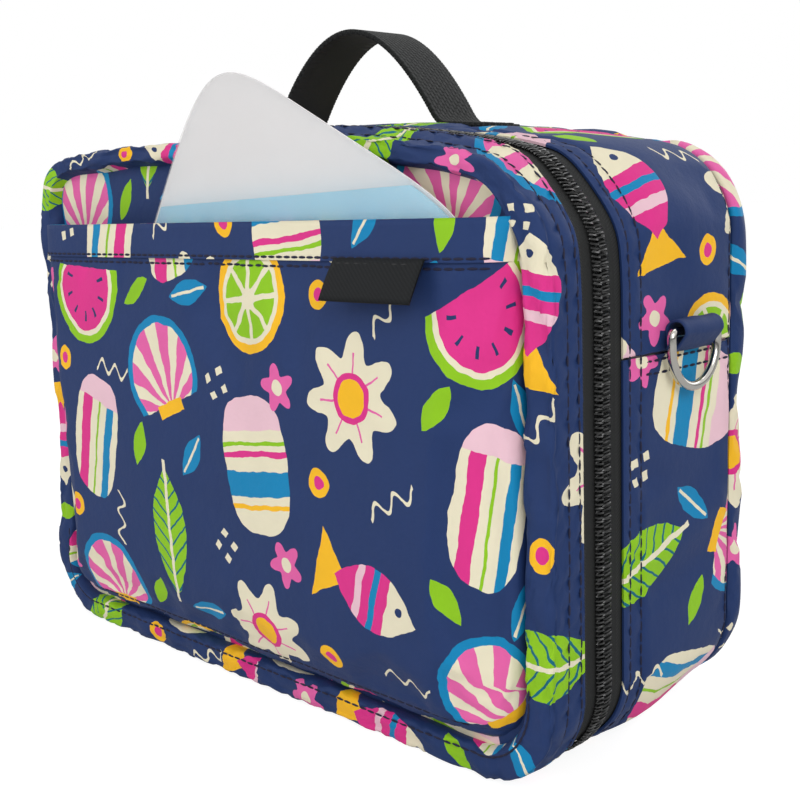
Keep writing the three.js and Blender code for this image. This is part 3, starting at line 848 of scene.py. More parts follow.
lip = dict(
    profile=[
        (-41.5, -1.3), (-36, -1.1), (-35.4, -0.9), (-35.3, -0.2), (-35.8, 0.25), (-36.5, 0.1), (-37.1, -0.2),
        (-37.8, 0.12), (-39.4, 0.4), (-41.1, 0.12), (-41.8, -0.2), (-42.5, 0.15), (-44.3, 0.5), (-46.4, 0.25),
        (-47.3, -0.15), (-47.9, 0.1), (-48.6, 0.3), (-49.15, 0.15), (-49.45, -0.45), (-49.35, -1.2),
        (-49.15, -2.2), (-49.35, -3.6), (-49.45, -5), (-49.3, -6.4), (-48.95, -7.4), (-49.05, -8.2),
        (-48.75, -9), (-48, -9.5), (-46.5, -9.7), (-44.5, -9.5), (-42.5, -9.2), (-41.5, -8.8),
    ],
    sewnAt=[(-37.1, 0), (-41.8, 0)],
    innerRow=(-49.1, -7.5), rowReach=150,
    topNarrow=0.38, narrowHeight=(150, 176), narrowDepth=(41.5, 46),
    bottomRound=0.8, roundHeight=(-24, -6), roundDepth=(44, 49.5), roundOut=(-7, 0),
    printShift=(12, 30), creases=(0.7, 15, 3), creaseDepth=(42, 46), frontFace=48.7, slack=(0.03, 1.5, 0.9),
    held={0, 1, 2, 3, 6, 10, 14, 24, 28, 29, 30, 31},
)


def lipPlace(along, depth, out):  # narrow along the top, rounder along the bottom
    z = railAt(along)[1]
    if out < 0:
        narrow = lip["topNarrow"] * smoothStep(z, *lip["narrowHeight"])
        out *= 1 - narrow * smoothStep(-depth, *lip["narrowDepth"])
    edge = smoothStep(-depth, *lip["roundDepth"]) * smoothStep(out, *lip["roundOut"])
    inward = lip["bottomRound"] * smoothStep(-z, *lip["roundHeight"]) * edge ** 2
    return onRail(along, depth + inward, out - inward)


def frontLip():
    bm = sweepCloth(lip["profile"], shift=lip["printShift"], place=lipPlace)

    def share(place):
        return smoothStep(-place.y, *lip["creaseDepth"]) * (0.5 if abs(place.y) > lip["frontFace"] else 1)

    ruffle(bm, *lip["creases"], share)
    nodes = ["front_rim", "front_gusset"]
    piece = finishPiece("front_lip_cloth", bm, printCotton, "front_lid", nodes)
    settle(piece, lip["held"], *lip["slack"])
    rows = [place for depth, out in lip["sewnAt"] for place in railRow(depth, out)]
    depth, out = lip["innerRow"]
    count = int(lip["rowReach"] / stitch["pitch"])
    for number in range(-count, count):
        spot = lipPlace(number * stitch["pitch"], depth, out)
        ahead = lipPlace(number * stitch["pitch"] + 1, depth, out) - spot
        rows.append(stitchPlace(spot, ahead, Vector((0, -1, 0))))
    sew("front_lip_stitches", ontoCloth(rows, piece), navyThread, "front_lid")


frontLip()


# rear walls: foam-backed cloth with a seam across each side, and the padded back rim

wall = dict(
    profile=[
        (39.9, -1.1), (10, -1), (-16, -1.1), (-16.6, -0.9), (-16.7, -0.2), (-16.1, 0.25), (-14.6, 0.2),
        (-13.7, -0.15), (-12.6, 0.25), (-11, 0.45), (-9.4, 0.25), (-8.3, -0.15), (-7.2, 0.15), (-4, 0.4),
        (2, 0.6), (10, 0.65), (18, 0.65), (26, 0.6), (33, 0.5), (37.5, 0.25), (39, -0.1), (40, -0.2),
    ],
    sewnAt=[(-13.7, 0), (-8.3, 0), (39, 0)],
    seamRows=[1.7, 5.4], seamDepths=(-7, 12, 38), seamGap=0.3, held={0, 1, 2, 3, 4, 7, 11, 20, 21},
    printUpper=(220, 120), printLower=(90, 210), creases=(0.5, 24, 5), creaseDepth=(-8, 38),
    slack=(0.02, 1, 0.9), flatAt=(125, 13, 108), flatReach=(12, 18, 24),
)
backRim = dict(
    profile=[
        (41.6, -8.8), (41.4, -5), (41.4, -1.5), (41.2, -0.4), (42, 0.3), (43.5, 0.6), (45.5, 0.5),
        (47.6, -0.1), (49, -1.3), (49.7, -3), (49.9, -4.8), (49.5, -6.6), (48.4, -8.2), (46.6, -9.2),
        (44, -9.4),
    ],
    held={0, 1, 2, 3, 14}, printShift=(160, 320), creases=(0.7, 18, 8), creaseFrom=42, slack=(0.03, 1.5, 0.9),
)


def underRing(place):  # the rings need the wall flat here
    return nearness((abs(place.x), place.y, place.z), wall["flatAt"], wall["flatReach"])


def wallLooseness(place):
    front, back = wall["creaseDepth"]
    return 1 - underRing(place) if front < place.y < back and place.z > 2 else 0


def rearWalls():
    gap = wall["seamGap"]
    upper = sweepCloth(wall["profile"], rightSeam + gap, leftSeam - gap, wall["printUpper"])
    lower = sweepCloth(wall["profile"], leftSeam + gap - railLength, rightSeam - gap, wall["printLower"])
    walls = []
    for bm, name, node in (
        (upper, "wall_cloth_upper", "rear_gusset_upper"), (lower, "wall_cloth_lower", "rear_gusset_lower"),
    ):
        ruffle(bm, *wall["creases"], wallLooseness)
        piece = finishPiece(name, bm, printCotton, "rear_shell", [node])
        settle(piece, wall["held"], *wall["slack"], underRing)
        walls.append(piece)
    rows = [place for depth, out in wall["sewnAt"] for place in railRow(depth, out)]
    for side in (-1, 1):
        x = side * (case["halfWidth"] + 0.9)
        for drop in wall["seamRows"]:
            points = [Vector((x, depth, case["seam"] - drop)) for depth in wall["seamDepths"]]
            rows += lineRow(points, Vector((side, 0, 0)))
    sew("wall_stitches", ontoCloth(rows, *walls), navyThread, "rear_shell")


def backRoll():
    bm = sweepCloth(backRim["profile"], shift=backRim["printShift"])
    ruffle(bm, *backRim["creases"], lambda place: min(1, max(0, (place.y - backRim["creaseFrom"]) / 4)))
    piece = finishPiece("back_rim_cloth", bm, printCotton, "rear_shell", ["back_rim"])
    settle(piece, backRim["held"], *backRim["slack"])


rearWalls()
backRoll()


# flat panels cut to the case's outline

panel = dict(
    rings=[0.985, 0.96, 0.93, 0.88, 0.82, 0.75, 0.67, 0.58, 0.48, 0.37, 0.25, 0.12, 0.03], wall=0.8,
    front=dict(inset=5, depth=-43.4, facing=-1, swell=3, shift=(29.5, -137.5)), frontCreases=(0.7, 20, 11),
    back=dict(inset=5, depth=41.8, facing=1, swell=2.5, shift=(140, 85)), backCreases=(0.8, 26, 12),
)


def outlinePanel(inset, depth, facing, swell=0, shift=(0, 0)):
    bm = bmesh.new()
    edge = [bm.verts.new(onRail(along, depth, -inset)) for along in stationsBetween(0, railLength)[:-1]]
    middle = Vector((0, depth, case["middle"]))
    fillInward(bm, edge, middle, panel["rings"])
    for vert in bm.verts:
        beside = abs(vert.co.x) / (case["halfWidth"] - inset)
        away = max(beside, abs(vert.co.z - middle.z) / (case["middle"] - inset))
        vert.co.y += facing * swell * max(0, 1 - away ** 10)
    faceTowards(bm, facing)
    layUv(bm, lambda vert: (-facing * vert.co.x + shift[0], vert.co.z + shift[1]))
    return bm


def frontAndBackPanels():
    bm = outlinePanel(**panel["front"])
    ruffle(bm, *panel["frontCreases"])
    area = clothArea(bm)
    piece = finishPiece("recess_cloth", bm, printCotton, "front_lid", ["front_panel"])
    thicken(piece, panel["wall"])
    bm = outlinePanel(**panel["back"])
    ruffle(bm, *panel["backCreases"])
    area = clothArea(bm)
    piece = finishPiece("back_cloth", bm, printCotton, "rear_shell", ["back_panel"])
    thicken(piece, panel["wall"])


frontAndBackPanels()
print("case cloth ready")


# zip: tapes and coils

zipper = dict(
    first=hingeBottom - railLength, last=hingeTop, pitch=1.24, wire=0.33, reach=1.75, middle=1.66,
    crest=-0.16, valley=-0.94, turnPoints=10, tapeTop=-1.35, tapeMiddle=-1.3, tapeUnder=-1.95,
)


def tapeProfile(inner, outer):
    top, under = zipper["tapeTop"], zipper["tapeUnder"]
    middle = (outer * 0.5 + inner * 0.5, zipper["tapeMiddle"])
    return [(inner, top), (inner, under), (outer, under), (outer, top), middle]


def zipTapes():
    for name, node, body, inner, outer in (
        ("zip_tape_front_weave", "zip_tape_front", "front_lid", -26.7, -39.7),
        ("zip_tape_rear_weave", "zip_tape_rear", "rear_shell", -25.3, -12.3),
    ):
        bm = sweepCloth(tapeProfile(inner, outer), zipper["first"], zipper["last"])
        finishPiece(name, bm, blackTape, body, [node])


def zipCoils():
    for name, node, body, way, phase in (
        ("zip_coil_front_loops", "zip_coil_front", "front_lid", -1, 0),
        ("zip_coil_rear_loops", "zip_coil_rear", "rear_shell", 1, 0.5),
    ):
        turns = int((zipper["last"] - zipper["first"]) / zipper["pitch"]) - 1
        points = []
        middle, swing = (zipper["crest"] + zipper["valley"]) / 2, (zipper["crest"] - zipper["valley"]) / 2
        for number in range(turns * zipper["turnPoints"]):
            turn = number / zipper["turnPoints"]
            angle = 2 * math.pi * turn
            along = zipper["first"] + zipper["pitch"] * (turn + phase + 0.25)
            depth = case["zipLine"] + way * (zipper["middle"] - zipper["reach"] * math.cos(angle))
            points.append(onRail(along, depth, middle + swing * math.sin(angle)))
        mesh = wireMesh(name, points, zipper["wire"], False, 0)
        placeMesh(name, mesh, coilNylon, body, [node], 70)


zipTapes()
zipCoils()
print("zip ready")


# pocket with its hem and label

pocket = dict(
    width=228, bottom=10.3, top=157, corner=15, mouth=15, belly=17, leftFullness=22, rightFullness=14,
    bottomFullness=20, seat=-41.5, gap=1.2, thickness=1, hem=11.5, columns=120, rows=80,
    footRow=5.5, footDip=0.7, footReach=98, rowWidth=1.2, hemRows=10, hemReach=110, hemProud=0.9, hemWall=0.7,
    printShift=(7, 3), hemPrint=(60, 240), wrapHeight=30, creases=(0.9, 34, 21), slack=(0.012, 0.6, 1.6),
    looseHalf=110, looseEdge=20,
)
label = dict(
    width=35, height=13, centre=75.2, tilt=30, thickness=0.7, top=146.2, depth=-59.65, bow=0.5, wave=0.3,
    flatZ=142, flatReach=(26, 17),
)


def pocketHalf(z):
    rise = min((z - pocket["bottom"]) / pocket["corner"], 1)
    return pocket["width"] / 2 - pocket["corner"] + pocket["corner"] * math.sqrt(max(1 - (1 - rise) ** 2, 0))


def pocketDepth(x, z):  # front face of the pocket cloth
    across = abs(x) / pocketHalf(z)
    rise = (z - pocket["bottom"]) / (pocket["top"] - pocket["bottom"])
    swell = pocket["mouth"] + (pocket["belly"] - pocket["mouth"]) * 4 * rise * (1 - rise)
    fullness = pocket["rightFullness"] if x > 0 else pocket["leftFullness"]
    sides = math.sqrt(max(1 - across ** fullness, 0))
    foot = math.sqrt(max(1 - (1 - rise) ** pocket["bottomFullness"], 0))
    sewn = pocket["footDip"] * bell(z - pocket["bottom"] - pocket["footRow"], pocket["rowWidth"])
    return pocket["seat"] - swell * sides * foot - pocket["gap"] + sewn


def pocketGrid(low, rows, forward, shift, flip):
    bm = bmesh.new()
    bmesh.ops.create_grid(bm, x_segments=pocket["columns"], y_segments=rows, size=1)
    spotLayer = bm.verts.layers.int.new("spot")
    for vert in bm.verts:
        rise = (vert.co.y + 1) / 2
        turn = (vert.co.x + 1) / 2
        z = low + (pocket["top"] - low) * (1 - math.cos(rise * math.pi / 2))
        x = -pocketHalf(z) * math.cos(turn * math.pi)
        vert.co = (x, pocketDepth(x, z) - forward, z)
        sewn = z < low + 0.5 or z > pocket["top"] - pocket["hem"] - 2 or abs(x) > pocketHalf(z) - 1.5
        vert[spotLayer] = 1 if sewn or abs(z - low - pocket["footRow"]) < pocket["rowWidth"] else 0
    bmesh.ops.recalc_face_normals(bm, faces=bm.faces)
    faceTowards(bm, -1)

    def flatPlace(vert):
        back = vert.co.y - (pocket["seat"] - pocket["mouth"] - 2)
        lower = back if vert.co.z < pocket["wrapHeight"] else 0
        beside = max(0, back) if vert.co.z >= pocket["wrapHeight"] else 0
        return (
            flip * (vert.co.x + math.copysign(beside, vert.co.x)) + shift[0],
            flip * (vert.co.z - lower) + shift[1],
        )

    layUv(bm, flatPlace)
    return bm


def underLabel(place):  # the label lies here
    return nearness((place.x, place.z), (label["centre"], label["flatZ"]), label["flatReach"])


def looseness(place):
    fromEdge = (pocket["looseHalf"] - abs(place.x)) / pocket["looseEdge"]
    return min(1, max(0, fromEdge)) * (1 - underLabel(place))


def frontPocket():
    bm = pocketGrid(pocket["bottom"], pocket["rows"], 0, pocket["printShift"], 1)
    ruffle(bm, *pocket["creases"], looseness)
    front = finishPiece("pocket_cloth", bm, printCotton, "front_lid", ["pocket_panel"], 80)
    settle(front, {1}, *pocket["slack"], underLabel)
    thicken(front, pocket["thickness"])
    hemEdge = pocket["top"] - pocket["hem"]
    bm = pocketGrid(hemEdge, pocket["hemRows"], pocket["hemProud"], pocket["hemPrint"], -1)
    ruffle(bm, *pocket["creases"], looseness)
    piece = finishPiece("pocket_hem_cloth", bm, printCotton, "front_lid", ["pocket_hem"], 80)
    thicken(piece, pocket["hemWall"])
    rows = []
    for height, reach, under in (
        (hemEdge + 1, pocket["hemReach"], piece), (hemEdge - 1.6, pocket["hemReach"], front),
        (pocket["bottom"] + pocket["footRow"], pocket["footReach"], front),
    ):
        points = [Vector((x, pocketDepth(x, height) - 1, height)) for x in range(-reach, reach + 1, 2)]
        rows += ontoCloth(lineRow(points, Vector((0, -1, 0))), under)
    sew("pocket_stitches", rows, navyThread, "front_lid")


def labelFlap():
    bm = bmesh.new()
    bmesh.ops.create_grid(bm, x_segments=20, y_segments=8, size=1)
    tilt = math.radians(label["tilt"])
    for vert in bm.verts:
        down = (1 - vert.co.y) / 2 * label["height"]
        x = vert.co.x * label["width"] / 2
        bow = label["bow"] * math.sin(math.pi * down / label["height"])
        bow += label["wave"] * noise.noise(Vector((x / 12, down / 9, 4)))
        vert.co = (
            label["centre"] + x,
            label["depth"] - math.sin(tilt) * down - bow * math.cos(tilt) * 0.6,
            label["top"] - math.cos(tilt) * down + bow * math.sin(tilt) * 0.6,
        )
    layUv(bm, lambda vert: (vert.co.x, vert.co.z))
    bmesh.ops.recalc_face_normals(bm, faces=bm.faces)
    faceTowards(bm, -1)
    piece = finishPiece("label_satin", bm, labelSatin, "label", ["label_tab"])
    thicken(piece, label["thickness"], 1)
    half, front = label["width"] / 2 - 1, label["depth"] - label["thickness"] - 0.7
    ends = [Vector((label["centre"] + side * half, front, label["top"] - 1.2)) for side in (-1, 1)]
    sew("label_stitches", lineRow(ends, Vector((0, -1, 0.3))), blackThread, "label")


frontPocket()
labelFlap()
print("pocket ready")


# gel pack

pack = dict(
    width=140, height=156, tipSquareness=6, squareness=5, tilt=27, centreX=20.3, centreZ=111.15,
    depth=-52.6, level=164, slope=0.03,
    rings=[
        (0.5, 0.45), (1, 0.8), (1.8, 1.2), (3.2, 1.65), (6, 2.1), (11, 2.4), (22, 2.5), (38, 2.55),
        (56, 2.5), (69, 2.5),
    ],
    gelInset=1.3, gelRings=[(1.9, 0.8), (3.6, 1.25), (7, 1.65), (14, 1.9), (27, 2), (50, 2), (69, 2)],
    edge=0.3, gelEdge=0.4, skew=8, skewReach=100, film=0.2,
    frontCreases=(0.4, 30, 31), rearCreases=(0.15, 30, 31),
)


def packOutline(inset, sides=120):
    for step in range(sides):
        angle = 2 * math.pi * step / sides
        across, up = math.cos(angle), math.sin(angle)
        power = 2 / pack["tipSquareness" if across < 0 < up else "squareness"]
        x = (pack["width"] / 2 - inset) * math.copysign(abs(across) ** power, across)
        z = (pack["height"] / 2 - inset) * math.copysign(abs(up) ** power, up)
        drop = pack["height"] / 2 - z
        wider = pack["skew"] * smoothStep(drop, 0, pack["skewReach"])  # its left side spreads downwards
        yield Vector((x - wider * (0.5 - x / pack["width"]), 0, z))


def packFace(start, rings, edge, way):
    bm = bmesh.new()
    rim = [bm.verts.new(point) for point in packOutline(start)]
    half = pack["width"] / 2
    fillInward(bm, rim, Vector(), [(half - inset) / (half - start) for inset, height in rings])
    bm.verts.ensure_lookup_table()
    heights = [edge] + [height for inset, height in rings]
    for number, vert in enumerate(bm.verts):  # rings follow each other in the list
        vert.co.y = way * heights[number // len(rim)]
    bm.normal_update()
    faceTowards(bm, way)
    return bm


def standPack(bm):
    turn = Matrix.Rotation(math.radians(pack["tilt"]), 4, "Y")
    move = Matrix.Translation((pack["centreX"], pack["depth"], pack["centreZ"]))
    bmesh.ops.transform(bm, matrix=move @ turn, verts=bm.verts)
    layUv(bm, lambda vert: (vert.co.x, vert.co.z))


def packFilm(name, base, alpha):
    material, tree, shader = newMaterial(name)
    haze = noiseNode(tree, coordinates(tree, "Object"), 30, 3)
    darker = [0.94 * part for part in base[:3]] + [1]
    tree.links.new(mixColour(tree, darker, base, haze.outputs[0]), shader.inputs["Base Color"])
    shader.inputs["Roughness"].default_value = 0.42
    shader.inputs["Alpha"].default_value = alpha
    addBump(tree, shader, haze.outputs[0], 0.8, 0.3)
    return material


def gelPack():
    milky = colour(242, 240, 240)
    for name, node, way, alpha, creases in (
        ("pack_front_film", "pack_film_front", -1, 0.24, pack["frontCreases"]),
        ("pack_rear_film", "pack_film_rear", 1, 1, pack["rearCreases"]),
    ):
        bm = packFace(0, pack["rings"], pack["edge"], way)
        standPack(bm)
        ruffle(bm, *creases)
        area = clothArea(bm)
        piece = finishPiece(name, bm, packFilm(name + " milk", milky, alpha), "gel_pack", [node])
        thicken(piece, pack["film"])
    bm = packFace(pack["gelInset"], pack["gelRings"], pack["gelEdge"], -1)
    joinInto(bm, packFace(pack["gelInset"], pack["gelRings"], pack["gelEdge"], 1))
    bmesh.ops.bridge_loops(bm, edges=[edge for edge in bm.edges if edge.is_boundary])
    standPack(bm)
    cut = bmesh.ops.bisect_plane(
        bm, geom=bm.verts[:] + bm.edges[:] + bm.faces[:], plane_co=(pack["centreX"], 0, pack["level"]),
        plane_no=(-pack["slope"], 0, 1), clear_outer=True,
    )["geom_cut"]
    bmesh.ops.contextual_create(bm, geom=[part for part in cut if isinstance(part, bmesh.types.BMEdge)])
    bmesh.ops.recalc_face_normals(bm, faces=bm.faces)
    gelBlue = speckled("sky blue gel", colour(56, 206, 242), 0.5, 40, 0.0, 0.05)
    finishPiece("blue_gel", bm, gelBlue, "gel_pack", ["pack_gel"])


gelPack()
print("gel pack ready")


# webbing handle: a loop whose feet are sewn flat on the crown

handle = dict(
    width=22, thickness=1.7, halfSpan=41, rise=33.2, depth=12.8, step=0.45, tooth=2.25, scallop=0.34,
    hover=2.2, bend=3, splay=0.075, lie=0.4, selvedge=0.5, footBox=(4.5, 16, 9.2), stitchLie=0.45,
)


def crownHeight(x):
    return crownZ + math.sqrt(case["crownRadius"] ** 2 - x ** 2)


def strapRoute():
    pivot = crownHeight(handle["halfSpan"]) + handle["hover"]
    inset = handle["thickness"] / 2
    rise, reach = handle["rise"] - inset, handle["halfSpan"] - inset
    begin, end = handle["halfSpan"] - handle["bend"], handle["halfSpan"] + handle["bend"]

    def legHeight(x):
        return pivot + rise * (1 - (x / reach) ** 2)

    def footHeight(x):
        return crownHeight(x) + handle["lie"] + inset

    side = []
    ground = footHeight(end)
    turn = begin + (legHeight(begin) - ground) * reach ** 2 / (2 * rise * begin)
    for step in range(1, 6):  # each leg bends out to lie flat
        t = step / 6
        x = (1 - t) ** 2 * begin + 2 * t * (1 - t) * turn + t ** 2 * end
        side.append((x, ground + (1 - t) ** 2 * (legHeight(begin) - ground)))
    side += [(x, footHeight(x)) for x in (end, end + 2.5, end + 6, end + 11, end + 15)]
    arch = [(x, legHeight(x)) for x in (begin * number / 40 for number in range(40, -41, -1))]
    route = side[::-1] + arch + [(-x, z) for x, z in side]
    return [Vector((x, handle["depth"], z)) for x, z in route]


def evenRoute(points, step):
    curve = []
    for before, a, b, after in zip([points[0]] + points, points, points[1:], points[2:] + [points[-1]]):
        for part in range(8):
            t = part / 8
            curve.append(0.5 * (
                2 * a + (b - before) * t + (2 * before - 5 * a + 4 * b - after) * t ** 2
                + (3 * a - before - 3 * b + after) * t ** 3
            ))
    curve.append(points[-1])
    even, carried = [curve[0]], 0
    for a, b in zip(curve, curve[1:]):
        long = (b - a).length
        while carried + long >= step:
            part = (step - carried) / long
            a = a.lerp(b, part)
            long = (b - a).length
            carried = 0
            even.append(a)
        carried += long
    return even


def handleStrap():
    route = evenRoute(strapRoute(), handle["step"])
    half, thick = handle["width"] / 2, handle["thickness"] / 2
    flat = half - handle["selvedge"]
    upper = [(-flat, thick), (-half / 2, thick), (0, thick), (half / 2, thick), (flat, thick)]
    lower = [(side, -lift) for side, lift in reversed(upper)]
    section = [(-half, 0)] + upper + [(half, 0)] + lower
    bm = bmesh.new()
    alongLayer = bm.verts.layers.float.new("along")
    spotLayer = bm.verts.layers.int.new("spot")

    def atStation(number, spot):
        ahead = route[min(number + 1, len(route) - 1)] - route[max(number - 1, 0)]
        up = Vector((ahead.z, 0, -ahead.x)).normalized()
        side, lift = section[spot]
        tooth = handle["scallop"] * math.sin(2 * math.pi * number * handle["step"] / handle["tooth"])
        if abs(side) > half - 1:
            side += math.copysign(tooth, side)
        wider = -handle["splay"] * side * route[number].x / handle["halfSpan"]  # the front edge spans more
        return route[number] + up * lift + Vector((wider, side, 0))

    verts = []
    for spot in range(len(section)):
        vert = bm.verts.new(atStation(0, spot))
        vert[spotLayer] = spot
        verts.append(vert)
    for number in range(1, len(route)):
        verts = growRow(bm, verts, True)
        for vert in verts:
            vert.co = atStation(number, vert[spotLayer])
            vert[alongLayer] = number * handle["step"]
    layUv(bm, lambda vert: (vert[alongLayer], vert.co.y))
    bmesh.ops.holes_fill(bm, edges=[edge for edge in bm.edges if edge.is_boundary])
    bmesh.ops.recalc_face_normals(bm, faces=bm.faces)
    piece = finishPiece(
        "handle_webbing", bm, blackWebbing, None,
        ["handle_strap", "handle_pad_left", "handle_pad_right"], 60,
    )
    piece.data.materials.append(strapBacking)
    spots = piece.data.attributes["spot"].data
    for face in piece.data.polygons:
        if min(spots[number].value for number in face.vertices) > 5:
            face.material_index = 1
    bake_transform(piece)

    rows = []
    first, last, deep = handle["footBox"]
    for side in (-1, 1):
        corners = []
        for out, depth in ((first, -deep), (last, -deep), (last, deep), (first, deep)):
            x = handle["halfSpan"] + out
            height = crownHeight(x) + handle["stitchLie"] + handle["thickness"]
            corners.append(Vector((side * x, handle["depth"] + depth, height)))
        for a, b in zip(corners + corners[:2], corners[1:] + [corners[0], corners[2], corners[3]]):
            rows += lineRow([a, b], Vector((0, 0, 1)))
    sew("handle_stitches", rows, blackThread, "rear_shell")


handleStrap()
print("handle ready")


# nickel D-rings in folded tabs

ring = dict(inner=21.5, wire=1.4, straight=2.9, fold=1.8, barX=129, barZ=122.8, depth=13)
tab = dict(width=20.4, depth=7.4, height=9.5, wall=1, foot=2.4, lie=0.4, steps=16, creases=(0.35, 7), seed=41)


def ringPoints(side):
    half, fold = ring["inner"] / 2 + ring["wire"], ring["fold"]

    def bend(middle, first):  # a quarter turn
        angles = [first + math.pi / 2 * step / 6 for step in range(7)]
        return [(middle + fold * math.cos(angle), -fold + fold * math.sin(angle)) for angle in angles]

    flat = bend(half - fold, 0)
    flat += [(half - fold - number * (2 * half - 2 * fold) / 8, 0) for number in range(1, 8)]
    flat += bend(-half + fold, math.pi / 2)
    centre = -ring["wire"] - ring["straight"]
    for step in range(33):
        angle = math.pi + math.pi * step / 32
        flat.append((half * math.cos(angle), centre + half * math.sin(angle)))
    return [Vector((side * ring["barX"], ring["depth"] + y, ring["barZ"] + z)) for y, z in flat]


def foldedTab(side):
    fold = tab["depth"] / 2 - tab["wall"] / 2
    line = [(tab["foot"], 0), (tab["foot"] + 1.8, 1.6)]
    line.append((tab["depth"] - tab["wall"] / 2, tab["height"] - tab["depth"] / 2 - 0.8))
    for step in range(13):
        angle = math.pi * step / 12
        line.append((
            tab["depth"] / 2 + fold * math.cos(angle),
            tab["height"] - tab["depth"] / 2 + fold * math.sin(angle),
        ))
    line += [(tab["wall"] / 2, 3), (tab["wall"] / 2, 0.4)]
    bm = bmesh.new()
    verts = []
    for out, up in line:
        x = side * (case["halfWidth"] + tab["lie"] + out)
        verts.append(bm.verts.new((x, ring["depth"] - tab["width"] / 2, case["seam"] + up)))
    for number in range(tab["steps"]):
        verts = growRow(bm, verts, False)
        bmesh.ops.translate(bm, vec=(0, tab["width"] / tab["steps"], 0), verts=verts)
    ruffle(bm, *tab["creases"], tab["seed"] + side)
    bmesh.ops.recalc_face_normals(bm, faces=bm.faces)
    layUv(bm, lambda vert: (vert.co.y, vert.co.z + abs(vert.co.x)))
    return bm


def ringsAndTabs():
    for name, side in (("right", 1), ("left", -1)):
        mesh = wireMesh(f"d_ring_{name}_wire", ringPoints(side), ring["wire"], True, 4)
        placeMesh(f"d_ring_{name}_wire", mesh, nickel, f"ring_{name}", [f"d_ring_{name}"], 60)
        bm = foldedTab(side)
        width = tab["width"] * mm
        length = clothArea(bm) / width
        nodes = [f"ring_tab_{name}"]
        piece = finishPiece(f"ring_tab_{name}_cloth", bm, navyCotton, "rear_shell", nodes)
        thicken(piece, tab["wall"] - 0.1, 0)
        soften(piece)


ringsAndTabs()
print("rings ready")


# zip sliders and pulls, drawn at the top of the crown and turned about its centre

slider = dict(
    length=11, wide=9.6, narrow=7, plate=1.1, lift=0.35, gap=3.9, web=1.24, webWall=0.5, webReach=(-3, 0.9),
    arch=0.65, archFoot=1.1, archRise=2.5, archHalf=3, edge=0.4,
)
pull = dict(length=24, wide=7, narrow=5.2, plate=1.1, eye=6, neck=3, wire=0.6, pivot=2.4, edge=0.45)


def block(bm, low, high, bevel):
    made = bmesh.ops.create_cube(bm, size=1)["verts"]
    size = [b - a for a, b in zip(low, high)]
    centre = [(a + b) / 2 for a, b in zip(low, high)]
    bmesh.ops.scale(bm, vec=size, verts=made)
    bmesh.ops.translate(bm, vec=centre, verts=made)
    if bevel:
        edges = {edge for vert in made for edge in vert.link_edges}
        bmesh.ops.bevel(
            bm, geom=list(edges), offset=bevel, affect="EDGES", segments=2, profile=0.5, material=-1
        )


def addWire(bm, points, radius, cyclic):
    mesh = wireMesh("wire", points, radius, cyclic, 2)
    bmesh.ops.scale(bm, vec=(mm, mm, mm), verts=bm.verts)
    bm.from_mesh(mesh)
    bpy.data.meshes.remove(mesh)
    bmesh.ops.scale(bm, vec=(1 / mm, 1 / mm, 1 / mm), verts=bm.verts)


def sliderBody(way):
    bm = bmesh.new()
    half, side = slider["length"] / 2, slider["wide"] / 2
    for bottom in (slider["lift"], slider["lift"] - slider["gap"]):
        block(bm, (-half, -side, bottom), (half, side, bottom + slider["plate"]), slider["edge"])
    for vert in bm.verts:  # the end that closes the zip is narrower
        share = (way * vert.co.x + half) / (2 * half)
        vert.co.y *= 1 - (1 - slider["narrow"] / slider["wide"]) * (1 - share) ** 2
    web, thin = slider["web"] / 2, slider["webWall"] / 2
    low, high = slider["webReach"]
    block(bm, (-web, -thin, low), (web, thin, high), 0)
    arch = []
    for step in range(13):
        turn = math.pi * step / 12
        rise = slider["archFoot"] + slider["archRise"] * math.sin(turn) ** 0.6
        arch.append((-slider["archHalf"] * math.cos(turn), 0, rise))
    addWire(bm, arch, slider["arch"], False)
    return bm


def pullTab(way):
    bm = bmesh.new()
    half, lift = pull["wide"] / 2, pull["pivot"]
    plate = pull["plate"] / 2
    low, high = (pull["eye"] - pull["wire"], -half, lift - plate), (pull["length"], half, lift + plate)
    block(bm, low, high, pull["edge"])
    for vert in bm.verts:
        if vert.co.x < pull["eye"] + pull["neck"]:
            vert.co.y *= pull["narrow"] / pull["wide"]
    loop = []
    side = pull["narrow"] / 2 - pull["wire"]
    for step in range(9):
        turn = math.pi / 2 + math.pi * step / 8
        loop.append((0.9 * math.cos(turn) + 0.6, side * math.sin(turn), lift))
    loop += [(pull["eye"], -side, lift), (pull["eye"], side, lift)]
    addWire(bm, loop, pull["wire"], True)
    if way < 0:
        bmesh.ops.rotate(bm, cent=(0, 0, 0), matrix=Matrix.Rotation(math.pi, 3, "Z"), verts=bm.verts)
    return bm


def ontoCrown(bm, x):
    lift = Matrix.Translation((0, case["zipLine"], crownZ))
    turn = Matrix.Rotation(math.asin(x / case["crownRadius"]), 4, "Y")
    bmesh.ops.transform(
        bm, matrix=lift @ turn @ Matrix.Translation((0, 0, case["crownRadius"])), verts=bm.verts
    )
    return bm


def slidersAndPulls():
    for side, way, x in (("left", -1, -28), ("right", 1, -16)):
        for name, bm, body, node in (
            (f"slider_{side}_body", sliderBody(way), f"slider_{side}", f"zip_slider_{side}"),
            (f"pull_{side}_tag", pullTab(way), f"pull_{side}", f"zip_pull_{side}"),
        ):
            finishPiece(name, ontoCrown(bm, x), blackEnamel, body, [node], 35)


slidersAndPulls()


# cloth hinge on the left, one strip across the joint

hinge = dict(
    front=-39.7, back=-12.3, low=30.3, high=144.2, wall=0.6, inset=1.35, bulge=0.45, bulgeReach=5, crease=0.2,
    printShift=300,
)


